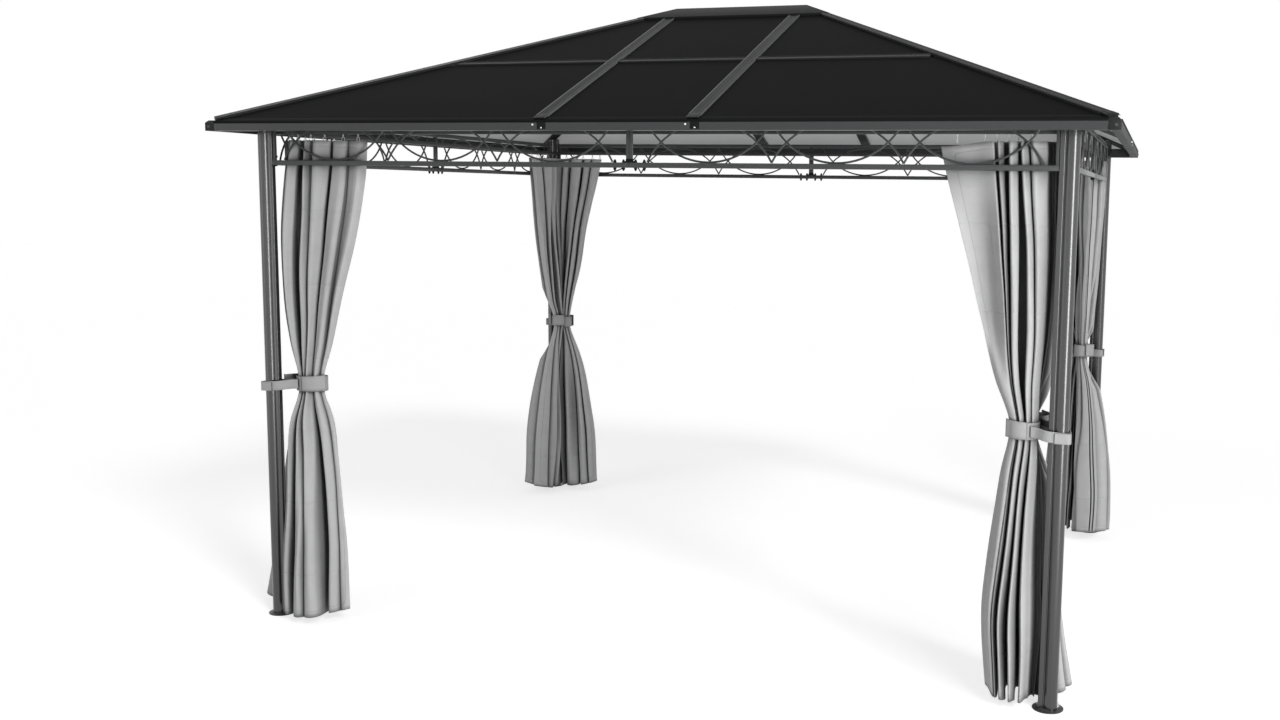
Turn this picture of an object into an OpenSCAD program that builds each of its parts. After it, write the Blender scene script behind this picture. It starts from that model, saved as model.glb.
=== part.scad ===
// Free-standing metal garden gazebo with a hipped twin-wall roof,
// scroll friezes between four fluted posts, and tied-back curtains.
// Millimetres, +Z up. The origin is on the ground at the middle of the plan.
// The long sides face -Y (front) and +Y (back).

/* [Roof] */
// Length of the roof, eave to eave
roof_l = 3650; // [3200:50:4200]
// Width of the roof, eave to eave
roof_w = 3000; // [2600:50:3150]
// Slope of all four roof faces, in degrees
roof_pitch = 22; // [16:1:26]
// Underside of the eave beams above the ground
eave_z = 2080; // [2000:10:2300]
// Height of the eave beams' outer face
eave_h = 38; // [30:1:60]
// Depth of the eave beams, outside to inside
eave_d = 35; // [25:1:60]
// Width of the rafters
rafter_w = 50; // [30:1:60]
// Width of the purlins
purlin_w = 40; // [30:1:60]
// Width of the hip bars
hip_w = 52; // [40:1:60]
// Place of the purlins up the slope, as a share of it
purlin_share = 0.475; // [0.4:0.005:0.6]
// Thickness of the twin-wall sheets
sheet_t = 6; // [4:1:10]
// How far the ridge cap reaches down each slope, in plan
cap_reach = 146; // [100:2:200]

/* [Posts] */
// Spacing of the posts along the long sides, between their axes
post_span_l = 3300; // [2900:10:3340]
// Spacing of the posts along the short sides, between their axes
post_span_w = 2660; // [2300:10:2700]
// Overall width of the post section
post_w = 70; // [64:1:80]
// Radius of the round lobe on the post's outer corner
lobe_r = 25; // [22:1:28]
// Diameter of the round base plates
plate_d = 114; // [104:1:160]
// Thickness of the base plates
plate_t = 4; // [3:1:8]
// Spacing of the two anchor bolts in each plate
bolt_gap = 64; // [60:1:76]
// Anchor bolts' distance inward from the post axis
bolt_in = 22; // [16:1:28]
// Diameter of the anchor bolt holes
bolt_d = 9; // [7:1:9]

/* [Friezes] */
// Height of the frieze, outside to outside of its rails
frieze_h = 196; // [150:2:220]
// Width of the square rails
rail_w = 20; // [16:1:24]
// Width of the bars that the arches are bent from
bar_w = 8; // [6:1:10]
// Arches in each half of a side
arches = 3; // [2:1:4]
// Gap between the middle of a side and the first arch
mid_gap = 72; // [60:1:90]
// Gap between a post axis and the last arch
end_gap = 88; // [70:1:110]

/* [Curtains] */
// Width of a curtain along its rail when it is drawn back
curtain_top = 376; // [300:2:480]
// Depth of the folds along the rail
curtain_d = 60; // [40:2:70]
// Thickness of the gathered curtain at its tie
curtain_waist = 100; // [80:2:104]
// Width of a tied curtain at its hem
curtain_hem = 184; // [130:2:190]
// Height of the hem above the ground
hem_z = 25; // [10:5:80]
// Middle of the tie bands above the ground
tie_z = 1020; // [800:5:1200]
// Height of a tie band
tie_h = 62; // [40:2:80]

/* [Hidden] */
$fn = 48;
half_l = roof_l / 2;
half_w = roof_w / 2;
ridge_half = half_l - half_w;
eave_top = eave_z + eave_h;
ridge_z = eave_top + half_w * tan(roof_pitch);
hip_pitch = atan(tan(roof_pitch) / sqrt(2));
plan = cos(roof_pitch);
slope_len = half_w / plan;
// Roof bars stand above and hang below the plane of the sheets
bar_up = 4;
bar_down = 21;
// Clearance between neighbouring pieces
gap = 1;
// Edge of the hip bars, measured along an eave from the hip line
hip_edge = (hip_w / 2 + 2) / cos(15.5) * sqrt(1 + plan * plan);
purlin_s = slope_len * purlin_share;
// Lower end of the bars and sheets, just inside the eave beam
start_s = (eave_d + 2) / plan;
// Rafters stand one on each side of the ridge hubs' middle
rafter_x = ridge_half - 17;
corner = 45;
hub_r = 60;
ridge_bar_w = 44;
hub_h = 46;
cap_t = 3;
cap_up = 10;
hip_cap_w = 62;
hip_cap_t = 4;
// The hip covers start over the corner caps, inside the eaves' outline
hip_cap_start = hip_cap_w / 2 + 6;

post_x = post_span_l / 2;
post_y = post_span_w / 2;
// The shoulder ribs of the post section are as wide as the lobe is round
rib_w = 24;
rib_l = 20;
groove = 2;
// Frieze and track lines, measured outward from a post axis
frieze_off = post_w / 2 - lobe_r;
track_off = -25;
// Inner face of a shoulder rib, where the rails and tracks come up to it
rib_face = frieze_off - rib_w / 2;
track_w = 18;
track_top = eave_z + 13;
cloth_top = track_top - track_w - 8;
frieze_top = eave_z + 62;
frieze_low = frieze_top - frieze_h;
// Where a drawn curtain starts along its rail, from the post axis
cloth_in = 80;
// Middles of the tie and of the hem, along the side and inward of the post axis
waist_at = [127, 45];
hem_at = [155, 20];
tie_t = 2;
strap_h = 40;
// The short sides' ties sit above the long sides' ones on each post
tie_step = strap_h + 6;
loop_w = post_w + 2 * gap + 2 * tie_t;

// ---- placing --------------------------------------------------------------

// Puts what is drawn for the front right corner on any corner
module on_corner(sx, sy) {
    mirror([sx < 0 ? 1 : 0, 0, 0])
        mirror([0, sy > 0 ? 1 : 0, 0])
            children();
}

// Puts what is drawn for the front on the back
module on_long_side(sy) {
    mirror([0, sy > 0 ? 1 : 0, 0])
        children();
}

// Swaps X and Y, so that what runs along X runs along Y
module along_y() {
    mirror([1, -1, 0])
        children();
}

// Puts what is drawn for the right side on the left
module on_short_side(sx) {
    mirror([sx < 0 ? 1 : 0, 0, 0])
        children();
}

// The plane of a slope: X along the eave, Y up the slope, Z out of it
module front_slope() {
    translate([0, -half_w, eave_top])
        rotate([roof_pitch, 0, 0])
            children();
}

module right_slope() {
    translate([half_l, 0, eave_top])
        rotate([0, 0, 90])
            rotate([roof_pitch, 0, 0])
                children();
}

// ---- posts ----------------------------------------------------------------

module rounded_rect(size, r) {
    translate([r, 0])
        square([size[0] - 2 * r, size[1]]);
    translate([0, r])
        square([size[0], size[1] - 2 * r]);
    for (x = [r, size[0] - r], y = [r, size[1] - r])
        translate([x, y])
            circle(r);
}

// Post section, with its round lobe toward +X and -Y
module post_section() {
    lobe = post_w / 2 - lobe_r;
    rib = [-post_w / 2, lobe_r - rib_w / 2 - post_w / 2];
    translate([lobe, -lobe])
        circle(lobe_r);
    for (side = [0, 1])
        mirror([side, side, 0]) {
            translate([rib[0], -lobe - rib_w / 2])
                rounded_rect([rib_l, rib_w], 4);
            translate([rib[0] + rib_l / 2, -lobe - rib_w / 2 + groove])
                square([post_w / 2, rib_w - 2 * groove]);
        }
}

// Everything above the underside of a hip bar
module above_hip() {
    translate([half_l, -half_w, eave_top])
        rotate([0, 0, 135])
            rotate([0, -hip_pitch, 0])
                translate([0, -200, -bar_down - gap / 2])
                    cube([800, 400, 400]);
}

module post(sx, sy) {
    color("dimgray")
        on_corner(sx, sy)
            difference() {
                translate([post_x, -post_y, plate_t])
                    linear_extrude(eave_z + 120)
                        post_section();
                above_hip();
            }
}

module base_plates() {
    color("dimgray")
        for (sx = [-1, 1], sy = [-1, 1])
            on_corner(sx, sy)
                translate([post_x, -post_y, 0])
                    difference() {
                        cylinder(h = plate_t, d = plate_d);
                        for (x = [-bolt_gap / 2, bolt_gap / 2])
                            translate([x, bolt_in, -1])
                                cylinder(h = plate_t + 2, d = bolt_d);
                    }
}

// ---- friezes --------------------------------------------------------------

// One bar bent to a circular arc over a chord, hanging down from its ends
module arch_bar(chord, rise) {
    r = (chord * chord / 4 + rise * rise) / (2 * rise);
    reach = asin(chord / 2 / r);
    translate([0, 0, r - rise])
        rotate([90, 0, 0])
            rotate([0, 0, 270 - reach])
                rotate_extrude(angle = 2 * reach, $fn = 96)
                    translate([r - bar_w, -bar_w / 2])
                        square(bar_w);
}

// Half of a side, from its middle joint at X = 0 to a post at X = span
module frieze_half(span) {
    len = span - post_w / 2 - gap;
    inner = frieze_h - 2 * rail_w;
    unit = (span - mid_gap - end_gap) / arches;
    for (z = [0, frieze_h - rail_w])
        translate([gap / 2, -rail_w / 2, z])
            cube([len, rail_w, rail_w]);
    for (x = [gap / 2, len - 12 + gap / 2])
        translate([x, -rail_w / 2 + 3, rail_w / 2])
            cube([12, rail_w - 6, frieze_h - rail_w]);
    for (i = [0:arches - 1])
        translate([mid_gap + (i + 0.5) * unit, 0, 0]) {
            translate([0, 0, frieze_h - rail_w + 1])
                arch_bar(unit, inner + 2);
            translate([0, 0, rail_w - 1])
                mirror([0, 0, 1])
                    arch_bar(unit, inner + 2);
        }
}

module long_frieze(sx, sy) {
    color("dimgray")
        on_corner(sx, sy)
            translate([0, -post_y - frieze_off, frieze_low])
                frieze_half(post_x);
}

module short_frieze(sx, sy) {
    color("dimgray")
        on_corner(sx, sy)
            translate([post_x + frieze_off, 0, frieze_low])
                rotate([0, 0, -90])
                    frieze_half(post_y);
}

// ---- roof frame -----------------------------------------------------------

// Eave beam along X on the front, its top sloped with the roof
module eave_beam(len) {
    rotate([90, 0, 90])
        translate([0, 0, -len / 2])
            linear_extrude(len)
                polygon([
                    [0, 0],
                    [eave_d, 0],
                    [eave_d, eave_h + eave_d * tan(roof_pitch)],
                    [0, eave_h],
                ]);
}

module long_eave_beam(sy) {
    color("dimgray")
        on_long_side(sy)
            translate([0, -half_w, eave_z])
                eave_beam(roof_l - 2 * corner - 2 * gap);
}

module short_eave_beam(sx) {
    color("dimgray")
        on_short_side(sx)
            translate([half_l, 0, eave_z])
                rotate([0, 0, 90])
                    eave_beam(roof_w - 2 * corner - 2 * gap);
}

module eave_corner_caps() {
    color("dimgray")
        for (sx = [-1, 1], sy = [-1, 1])
            on_corner(sx, sy)
                translate([half_l - corner, -half_w, eave_z])
                    cube([corner, corner, eave_h + 5]);
}

// Bar under each hip with the cover that runs on down to the corner
module hip_bar(sx, sy) {
    hip_len = half_w * sqrt(2) / cos(hip_pitch);
    bar_start = (eave_d * sqrt(2) + hip_w / 2 + 4) / cos(hip_pitch);
    bar_end = hip_len - (hub_r + 2) / cos(hip_pitch);
    color("dimgray")
        on_corner(sx, sy)
            translate([half_l, -half_w, eave_top])
                rotate([0, 0, 135])
                    rotate([0, -hip_pitch, 0]) {
                        translate([bar_start, -hip_w / 2, -bar_down])
                            cube([bar_end - bar_start, hip_w, bar_down + bar_up + 1]);
                        translate([hip_cap_start, -hip_cap_w / 2, bar_up])
                            cube([bar_end - hip_cap_start, hip_cap_w, hip_cap_t]);
                    }
}

// A bar lying in a slope, between two heights up the slope
module slope_bar(x, width, s_low, s_high) {
    translate([x - width / 2, s_low, -bar_down])
        cube([width, s_high - s_low, bar_down + bar_up]);
}

module front_pair_of_rafters() {
    top_s = (half_w - hub_r - 2) / plan;
    front_slope()
        for (x = [-rafter_x, rafter_x])
            slope_bar(x, rafter_w, start_s, top_s);
}

module long_rafters(sy) {
    color("dimgray")
        on_long_side(sy)
            front_pair_of_rafters();
}

module short_rafter(sx) {
    top_s = (half_w - hub_r - 2) / plan;
    color("dimgray")
        on_short_side(sx)
            right_slope()
                slope_bar(0, rafter_w, start_s, top_s);
}

// Where the hip bar's edge crosses a height s up a slope of half-length a
function hip_x(a, s) = a - plan * s - hip_edge;

// A flat piece from x0 out to the hip bar, between two heights up the slope
module hip_piece(a, x0, s_low, s_high, z, t) {
    s_tip = (a - hip_edge - x0) / plan;
    s_end = min(s_high, s_tip);
    points = [[x0, s_low], [hip_x(a, s_low), s_low], [hip_x(a, s_end), s_end]];
    translate([0, 0, z])
        linear_extrude(t)
            polygon(s_high < s_tip ? concat(points, [[x0, s_high]]) : points);
}

// The two outer pieces of a row, and the middle one where there is one
module slope_row(a, x0, s_low, s_high, z, t) {
    for (side = [0, 1])
        mirror([side, 0, 0])
            hip_piece(a, x0, s_low, s_high, z, t);
}

module middle_piece(s_low, s_high, z, t) {
    half = rafter_x - rafter_w / 2 - gap;
    translate([-half, s_low, z])
        cube([2 * half, s_high - s_low, t]);
}

purlin_low = purlin_s - purlin_w / 2;
purlin_high = purlin_s + purlin_w / 2;

module long_purlins(sy) {
    color("dimgray")
        on_long_side(sy)
            front_slope() {
                slope_row(half_l, rafter_x + rafter_w / 2 + gap, purlin_low, purlin_high,
                    -bar_down, bar_down + bar_up);
                middle_piece(purlin_low, purlin_high, -bar_down, bar_down + bar_up);
            }
}

module short_purlins(sx) {
    color("dimgray")
        on_short_side(sx)
            right_slope()
                slope_row(half_w, rafter_w / 2 + gap, purlin_low, purlin_high,
                    -bar_down, bar_down + bar_up);
}

module long_sheets(sy) {
    outer = rafter_x + rafter_w / 2 + gap;
    color("darkslategray")
        on_long_side(sy)
            front_slope() {
                slope_row(half_l, outer, start_s, purlin_low - gap, -sheet_t, sheet_t);
                slope_row(half_l, outer, purlin_high + gap, slope_len, -sheet_t, sheet_t);
                middle_piece(start_s, purlin_low - gap, -sheet_t, sheet_t);
                middle_piece(purlin_high + gap, (half_w - hub_r - 2) / plan, -sheet_t, sheet_t);
            }
}

module short_sheets(sx) {
    color("darkslategray")
        on_short_side(sx)
            right_slope() {
                slope_row(half_w, rafter_w / 2 + gap, start_s, purlin_low - gap,
                    -sheet_t, sheet_t);
                slope_row(half_w, rafter_w / 2 + gap, purlin_high + gap, slope_len,
                    -sheet_t, sheet_t);
            }
}

module ridge_beam() {
    hub_z = ridge_z - hub_r * tan(roof_pitch) - bar_down;
    color("dimgray") {
        translate([-ridge_half, -ridge_bar_w / 2, hub_z - 10])
            cube([2 * ridge_half, ridge_bar_w, hub_h + 8]);
        for (sx = [-1, 1])
            translate([sx * ridge_half, 0, hub_z - 10])
                cylinder(h = hub_h - 6, r = hub_r);
    }
}

// Folded cover over the ridge, its four wings parallel to the slopes
module ridge_cap() {
    function level(z) = [
        [-ridge_half, 0, ridge_z + z],
        [ridge_half, 0, ridge_z + z],
        for (c = [[-1, -1], [1, -1], [1, 1], [-1, 1]])
            [
                c[0] * (ridge_half + cap_reach),
                c[1] * cap_reach,
                ridge_z + z - cap_reach * tan(roof_pitch),
            ],
    ];
    top = [[0, 2, 3, 1], [1, 3, 4], [0, 1, 4, 5], [0, 5, 2]];
    under = [for (f = top) [for (i = [len(f) - 1:-1:0]) f[i] + 6]];
    rim = [for (i = [0:3]) [2 + i, 8 + i, 8 + (i + 1) % 4, 2 + (i + 1) % 4]];
    color("dimgray")
        polyhedron(
            points = concat(level(cap_up + cap_t), level(cap_up)),
            faces = [for (f = concat(top, under, rim)) [for (i = [len(f) - 1:-1:0]) f[i]]]
        );
}

// ---- curtains -------------------------------------------------------------

module long_track(sy) {
    len = post_span_l + 2 * rib_face - 2 * gap;
    color("dimgray")
        on_long_side(sy)
            translate([-len / 2, -post_y - track_off - track_w / 2, track_top - track_w])
                cube([len, track_w, track_w]);
}

module short_track(sx) {
    len = post_span_w + 2 * track_off - track_w - 2 * gap;
    color("dimgray")
        on_short_side(sx)
            translate([post_x + track_off - track_w / 2, -len / 2, track_top - track_w])
                cube([track_w, len, track_w]);
}

// Rings of a tied curtain from its hem up: height, middle along the side,
// middle inward, half width, half depth and roundness, where 1 is an ellipse
function curtain_level(z, at, half, round = 1) = [z, at, half, round];

curtain_levels = let(
    waist = [1, 1] * curtain_waist / 2,
    hem = [0.5, 0.46] * curtain_hem
) [
    curtain_level(hem_z, hem_at, hem),
    curtain_level(hem_z + 300, hem_at + [0, 4], hem * 0.96),
    curtain_level(tie_z - 360, (hem_at + waist_at) / 2, (hem + waist) / 2),
    curtain_level(tie_z - tie_h / 2 - 4, waist_at, waist),
    curtain_level(tie_z + tie_h / 2 + tie_step + 4, waist_at, waist),
    curtain_level(tie_z + 330, [158, 42], [82, 40]),
    curtain_level(cloth_top - 300, [cloth_in + 160, 38], [158, 35], 0.5),
    curtain_level(cloth_top, [cloth_in + curtain_top / 2, 3 + curtain_d / 2],
        [curtain_top, curtain_d] / 2, 0.35),
];
ring_points = 32;

function soften(value, round) = sign(value) * pow(abs(value), round);

function curtain_ring(level) = [
    for (i = [0:ring_points - 1])
        let(a = 360 * i / ring_points)
            [
                -level[1][0] + level[2][0] * soften(cos(a), level[3]),
                level[1][1] + level[2][1] * soften(sin(a), level[3]),
                level[0],
            ]
];

// A curtain beside the post at the origin, running off toward -X
module curtain() {
    n = ring_points;
    last = len(curtain_levels) - 1;
    sides = [
        for (k = [0:last - 1], i = [0:n - 1])
            let(j = (i + 1) % n)
                each [
                    [k * n + i, (k + 1) * n + i, (k + 1) * n + j],
                    [k * n + i, (k + 1) * n + j, k * n + j],
                ]
    ];
    under = [for (i = [0:n - 1]) i];
    top = [for (i = [n - 1:-1:0]) last * n + i];
    polyhedron(
        points = [for (level = curtain_levels) each curtain_ring(level)],
        faces = concat(sides, [under, top])
    );
}

module long_curtain(sx, sy) {
    color("lightgray")
        on_corner(sx, sy)
            translate([post_x, -post_y, 0])
                curtain();
}

module short_curtain(sx, sy) {
    color("lightgray")
        on_corner(sx, sy)
            translate([post_x, -post_y, 0])
                mirror([1, 1, 0])
                    curtain();
}

// Band round the gathered cloth, with its strap looped round the post
module tie() {
    band_r = curtain_waist / 2 + gap;
    difference() {
        union() {
            translate([-waist_at[0], waist_at[1], tie_z - tie_h / 2])
                cylinder(h = tie_h, r = band_r + tie_t);
            translate([-loop_w / 2, -loop_w / 2, tie_z - strap_h / 2])
                cube([loop_w, loop_w, strap_h]);
            translate([-waist_at[0] + band_r, loop_w / 2 - tie_t, tie_z - strap_h / 2])
                cube([waist_at[0] - band_r - loop_w / 2 + tie_t, tie_t, strap_h]);
        }
        translate([-waist_at[0], waist_at[1], tie_z - tie_h])
            cylinder(h = 2 * tie_h, r = band_r);
        translate([-loop_w / 2 + tie_t, -loop_w / 2 + tie_t, tie_z - strap_h])
            cube([loop_w - 2 * tie_t, loop_w - 2 * tie_t, 2 * strap_h]);
    }
}

module long_ties(sy) {
    color("lightgray")
        for (sx = [-1, 1])
            on_corner(sx, sy)
                translate([post_x, -post_y, 0])
                    tie();
}

module short_ties(sx) {
    color("lightgray")
        for (sy = [-1, 1])
            on_corner(sx, sy)
                translate([post_x, -post_y, tie_step])
                    mirror([1, 1, 0])
                        tie();
}

post(-1, -1);  // front_left_post
post(1, -1);  // front_right_post
post(-1, 1);  // back_left_post
post(1, 1);  // back_right_post
base_plates();
long_frieze(-1, -1);  // front_left_frieze
long_frieze(1, -1);  // front_right_frieze
long_frieze(-1, 1);  // back_left_frieze
long_frieze(1, 1);  // back_right_frieze
short_frieze(-1, -1);  // left_front_frieze
short_frieze(-1, 1);  // left_back_frieze
short_frieze(1, -1);  // right_front_frieze
short_frieze(1, 1);  // right_back_frieze
long_eave_beam(-1);  // front_eave_beam
long_eave_beam(1);  // back_eave_beam
short_eave_beam(-1);  // left_eave_beam
short_eave_beam(1);  // right_eave_beam
eave_corner_caps();
hip_bar(-1, -1);  // front_left_hip_bar
hip_bar(1, -1);  // front_right_hip_bar
hip_bar(-1, 1);  // back_left_hip_bar
hip_bar(1, 1);  // back_right_hip_bar
long_rafters(-1);  // front_rafters
long_rafters(1);  // back_rafters
short_rafter(-1);  // left_rafter
short_rafter(1);  // right_rafter
long_purlins(-1);  // front_purlins
long_purlins(1);  // back_purlins
short_purlins(-1);  // left_purlins
short_purlins(1);  // right_purlins
long_sheets(-1);  // front_roof_sheets
long_sheets(1);  // back_roof_sheets
short_sheets(-1);  // left_roof_sheets
short_sheets(1);  // right_roof_sheets
ridge_beam();
ridge_cap();
long_track(-1);  // front_curtain_track
long_track(1);  // back_curtain_track
short_track(-1);  // left_curtain_track
short_track(1);  // right_curtain_track
long_curtain(-1, -1);  // front_left_curtain
long_curtain(1, -1);  // front_right_curtain
long_curtain(-1, 1);  // back_left_curtain
long_curtain(1, 1);  // back_right_curtain
short_curtain(-1, -1);  // left_front_curtain
short_curtain(-1, 1);  // left_back_curtain
short_curtain(1, -1);  // right_front_curtain
short_curtain(1, 1);  // right_back_curtain
long_ties(-1);  // front_curtain_ties
long_ties(1);  // back_curtain_ties
short_ties(-1);  // left_curtain_ties
short_ties(1);  // right_curtain_ties
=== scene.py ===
import math
import random

import bmesh
import bpy
from mathutils import Matrix, Vector, noise


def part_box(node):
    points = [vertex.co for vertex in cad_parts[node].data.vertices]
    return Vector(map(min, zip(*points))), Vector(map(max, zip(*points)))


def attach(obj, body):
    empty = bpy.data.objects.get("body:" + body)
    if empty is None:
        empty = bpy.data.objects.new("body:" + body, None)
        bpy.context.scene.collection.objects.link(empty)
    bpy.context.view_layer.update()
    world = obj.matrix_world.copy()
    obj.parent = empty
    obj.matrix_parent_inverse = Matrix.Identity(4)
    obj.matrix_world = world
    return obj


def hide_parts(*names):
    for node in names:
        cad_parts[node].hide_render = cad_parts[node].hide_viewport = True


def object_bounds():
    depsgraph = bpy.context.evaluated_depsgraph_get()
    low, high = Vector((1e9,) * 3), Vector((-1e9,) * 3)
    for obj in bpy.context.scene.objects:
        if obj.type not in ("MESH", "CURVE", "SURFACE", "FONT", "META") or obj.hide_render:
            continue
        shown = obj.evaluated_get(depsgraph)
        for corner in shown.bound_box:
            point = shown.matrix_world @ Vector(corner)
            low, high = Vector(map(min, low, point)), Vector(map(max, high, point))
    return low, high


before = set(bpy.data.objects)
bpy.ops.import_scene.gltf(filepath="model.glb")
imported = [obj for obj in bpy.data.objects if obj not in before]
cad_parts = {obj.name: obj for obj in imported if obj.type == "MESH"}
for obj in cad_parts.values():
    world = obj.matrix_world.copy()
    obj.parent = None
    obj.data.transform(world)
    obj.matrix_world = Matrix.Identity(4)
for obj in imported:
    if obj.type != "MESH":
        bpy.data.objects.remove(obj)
cadLow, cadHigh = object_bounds()
print("frame loaded")

# Metres, +Z up, the front is -Y. Places come from the frame's boxes.
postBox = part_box("front_right_post")
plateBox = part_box("base_plates")
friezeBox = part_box("front_right_frieze")
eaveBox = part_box("front_eave_beam")
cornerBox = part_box("eave_corner_caps")
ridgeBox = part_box("ridge_cap")
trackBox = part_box("front_curtain_track")

layout = {
    "postX": (postBox[0].x + postBox[1].x) / 2,
    "postY": -(postBox[0].y + postBox[1].y) / 2,
    "postWidth": postBox[1].x - postBox[0].x,
    "eaveZ": eaveBox[0].z,
    "eaveTop": cornerBox[1].z - 0.005,
    "ridgeZ": ridgeBox[1].z - 0.013,  # where the two long slopes would meet
    "friezeLow": friezeBox[0].z,
    "friezeHigh": friezeBox[1].z,
    "friezeOut": 0.010,  # the rails' line stands this far outside the post axes
    "trackIn": 0.025,  # and the curtain rails' line this far inside
    "trackLow": trackBox[0].z,
    "trackHigh": trackBox[1].z,
}
halfL, halfW = cadHigh.x, cadHigh.y
ridgeHalf = halfL - halfW
pitch = math.atan((layout["ridgeZ"] - layout["eaveTop"]) / halfW)
hipPitch = math.atan(math.tan(pitch) / math.sqrt(2))

sides = ["front", "right", "back", "left"]
# The two halves of a side, named as seen along it from its -X end once it is turned to the front
halfNames = {
    "front": ("left", "right"),
    "right": ("front", "back"),
    "back": ("right", "left"),
    "left": ("back", "front"),
}


def isLong(side):
    return side in ("front", "back")


def sideTurn(side):
    return Matrix.Rotation(math.radians(90 * sides.index(side)), 4, "Z")


def sideSpan(side):  # from a side's middle to its post axes
    return layout["postX"] if isLong(side) else layout["postY"]


def sideLine(side):  # from the plan's middle to the side's post line
    return layout["postY"] if isLong(side) else layout["postX"]


def sideEave(side):  # half the eave's length, and its distance out
    return (halfL, halfW) if isLong(side) else (halfW, halfL)


cameraSet = {
    "place": (1.9642, -5.9498, 1.8519),
    "turn": 16.85,
    "tilt": -6.869,
    "roll": 0.796,
    "lens": 36.145,
    "shift": (-0.1005, -0.0084),
}


def makeCamera():
    turn, tilt, roll = (math.radians(cameraSet[k]) for k in ("turn", "tilt", "roll"))
    data = bpy.data.cameras.new("view")
    data.lens = cameraSet["lens"]
    data.sensor_width = 36
    data.shift_x, data.shift_y = cameraSet["shift"]
    data.clip_end = 100
    camera = bpy.data.objects.new("view", data)
    aim = Matrix.Rotation(turn, 4, "Z") @ Matrix.Rotation(math.pi / 2 + tilt, 4, "X")
    camera.matrix_world = Matrix.Translation(cameraSet["place"]) @ aim @ Matrix.Rotation(roll, 4, "Z")
    bpy.context.scene.collection.objects.link(camera)
    bpy.context.scene.camera = camera


makeCamera()
print("camera placed")


def newGroup(name, inputs, outputs):
    group = bpy.data.node_groups.new(name, "ShaderNodeTree")
    for label, kind, value in inputs:
        socket = group.interface.new_socket(name=label, in_out="INPUT", socket_type=kind)
        if value is not None:
            socket.default_value = value
    for label, kind in outputs:
        group.interface.new_socket(name=label, in_out="OUTPUT", socket_type=kind)
    return group, group.nodes.new("NodeGroupInput"), group.nodes.new("NodeGroupOutput")


def mathNode(tree, operation, first, second=None, third=None):
    node = tree.nodes.new("ShaderNodeMath")
    node.operation = operation
    for slot, value in enumerate((first, second, third)):
        if value is None:
            continue
        if isinstance(value, (int, float)):
            node.inputs[slot].default_value = value
        else:
            tree.links.new(value, node.inputs[slot])
    return node.outputs[0]


def mixColour(tree, factor, first, second):
    node = tree.nodes.new("ShaderNodeMix")
    node.data_type = "RGBA"
    for label, value in (("Factor", factor), ("A", first), ("B", second)):
        socket = node.inputs[label]
        if isinstance(value, bpy.types.NodeSocket):
            tree.links.new(value, socket)
        elif isinstance(value, (int, float)):
            socket.default_value = value if socket.type == "VALUE" else (value, value, value, 1)
        else:
            socket.default_value = (*value, 1)
    return node.outputs["Result"]


def noiseNode(tree, vector, scale, detail=2, roughness=0.5):
    node = tree.nodes.new("ShaderNodeTexNoise")
    node.inputs["Scale"].default_value = scale
    node.inputs["Detail"].default_value = detail
    node.inputs["Roughness"].default_value = roughness
    tree.links.new(vector, node.inputs["Vector"])
    return node.outputs[0]


def newMaterial(name, **values):
    material = bpy.data.materials.new(name)
    material.use_nodes = True
    shader = material.node_tree.nodes["Principled BSDF"]
    for label, value in values.items():
        shader.inputs[label.replace("_", " ")].default_value = value
    return material, material.node_tree, shader


def bumpInto(tree, target, height, strength, distance):  # into a shader, or into a finer bump
    node = tree.nodes.new("ShaderNodeBump")
    node.inputs["Strength"].default_value = strength
    node.inputs["Distance"].default_value = distance
    tree.links.new(height, node.inputs["Height"])
    tree.links.new(node.outputs["Normal"], target.inputs["Normal"])
    return node


def roughInto(tree, shader, mask, middle, spread):
    rough = mathNode(tree, "MULTIPLY_ADD", mask, spread, middle - spread / 2)
    tree.links.new(rough, shader.inputs["Roughness"])


def splitVector(tree, vector):
    node = tree.nodes.new("ShaderNodeSeparateXYZ")
    tree.links.new(vector, node.inputs[0])
    return node.outputs


def shaded(colour, factor):
    return [c * factor for c in colour]


def objectVector(tree):
    return tree.nodes.new("ShaderNodeTexCoord").outputs["Object"]


def makeWeathering():  # dust that settles in broad patches, and a fine speckle
    group, source, result = newGroup(
        "weathering",
        [
            ("Vector", "NodeSocketVector", None),
            ("Patch Scale", "NodeSocketFloat", 3.0),
            ("Speckle Scale", "NodeSocketFloat", 700.0),
        ],
        [("Patch", "NodeSocketFloat"), ("Speckle", "NodeSocketFloat")],
    )
    for label, detail in (("Patch", 4), ("Speckle", 1)):
        node = group.nodes.new("ShaderNodeTexNoise")
        node.inputs["Detail"].default_value = detail
        group.links.new(source.outputs["Vector"], node.inputs["Vector"])
        group.links.new(source.outputs[label + " Scale"], node.inputs["Scale"])
        group.links.new(node.outputs[0], result.inputs[label])
    return group


weathering = makeWeathering()


def weatherNode(tree, vector, patch, speckle):
    node = tree.nodes.new("ShaderNodeGroup")
    node.node_tree = weathering
    node.inputs["Patch Scale"].default_value = patch
    node.inputs["Speckle Scale"].default_value = speckle
    tree.links.new(vector, node.inputs["Vector"])
    return node


coat = {
    "low": (0.034, 0.035, 0.036),
    "high": (0.046, 0.047, 0.048),
    "roughness": 0.31,
    "uneven": 0.14,  # how much the roughness varies
    "gloss": 0.28,
    "patch": 2.3,
    "speckle": 900.0,
    "shadeTop": 1.7,  # a shaded foot is as light as the rest from this height
}


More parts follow.
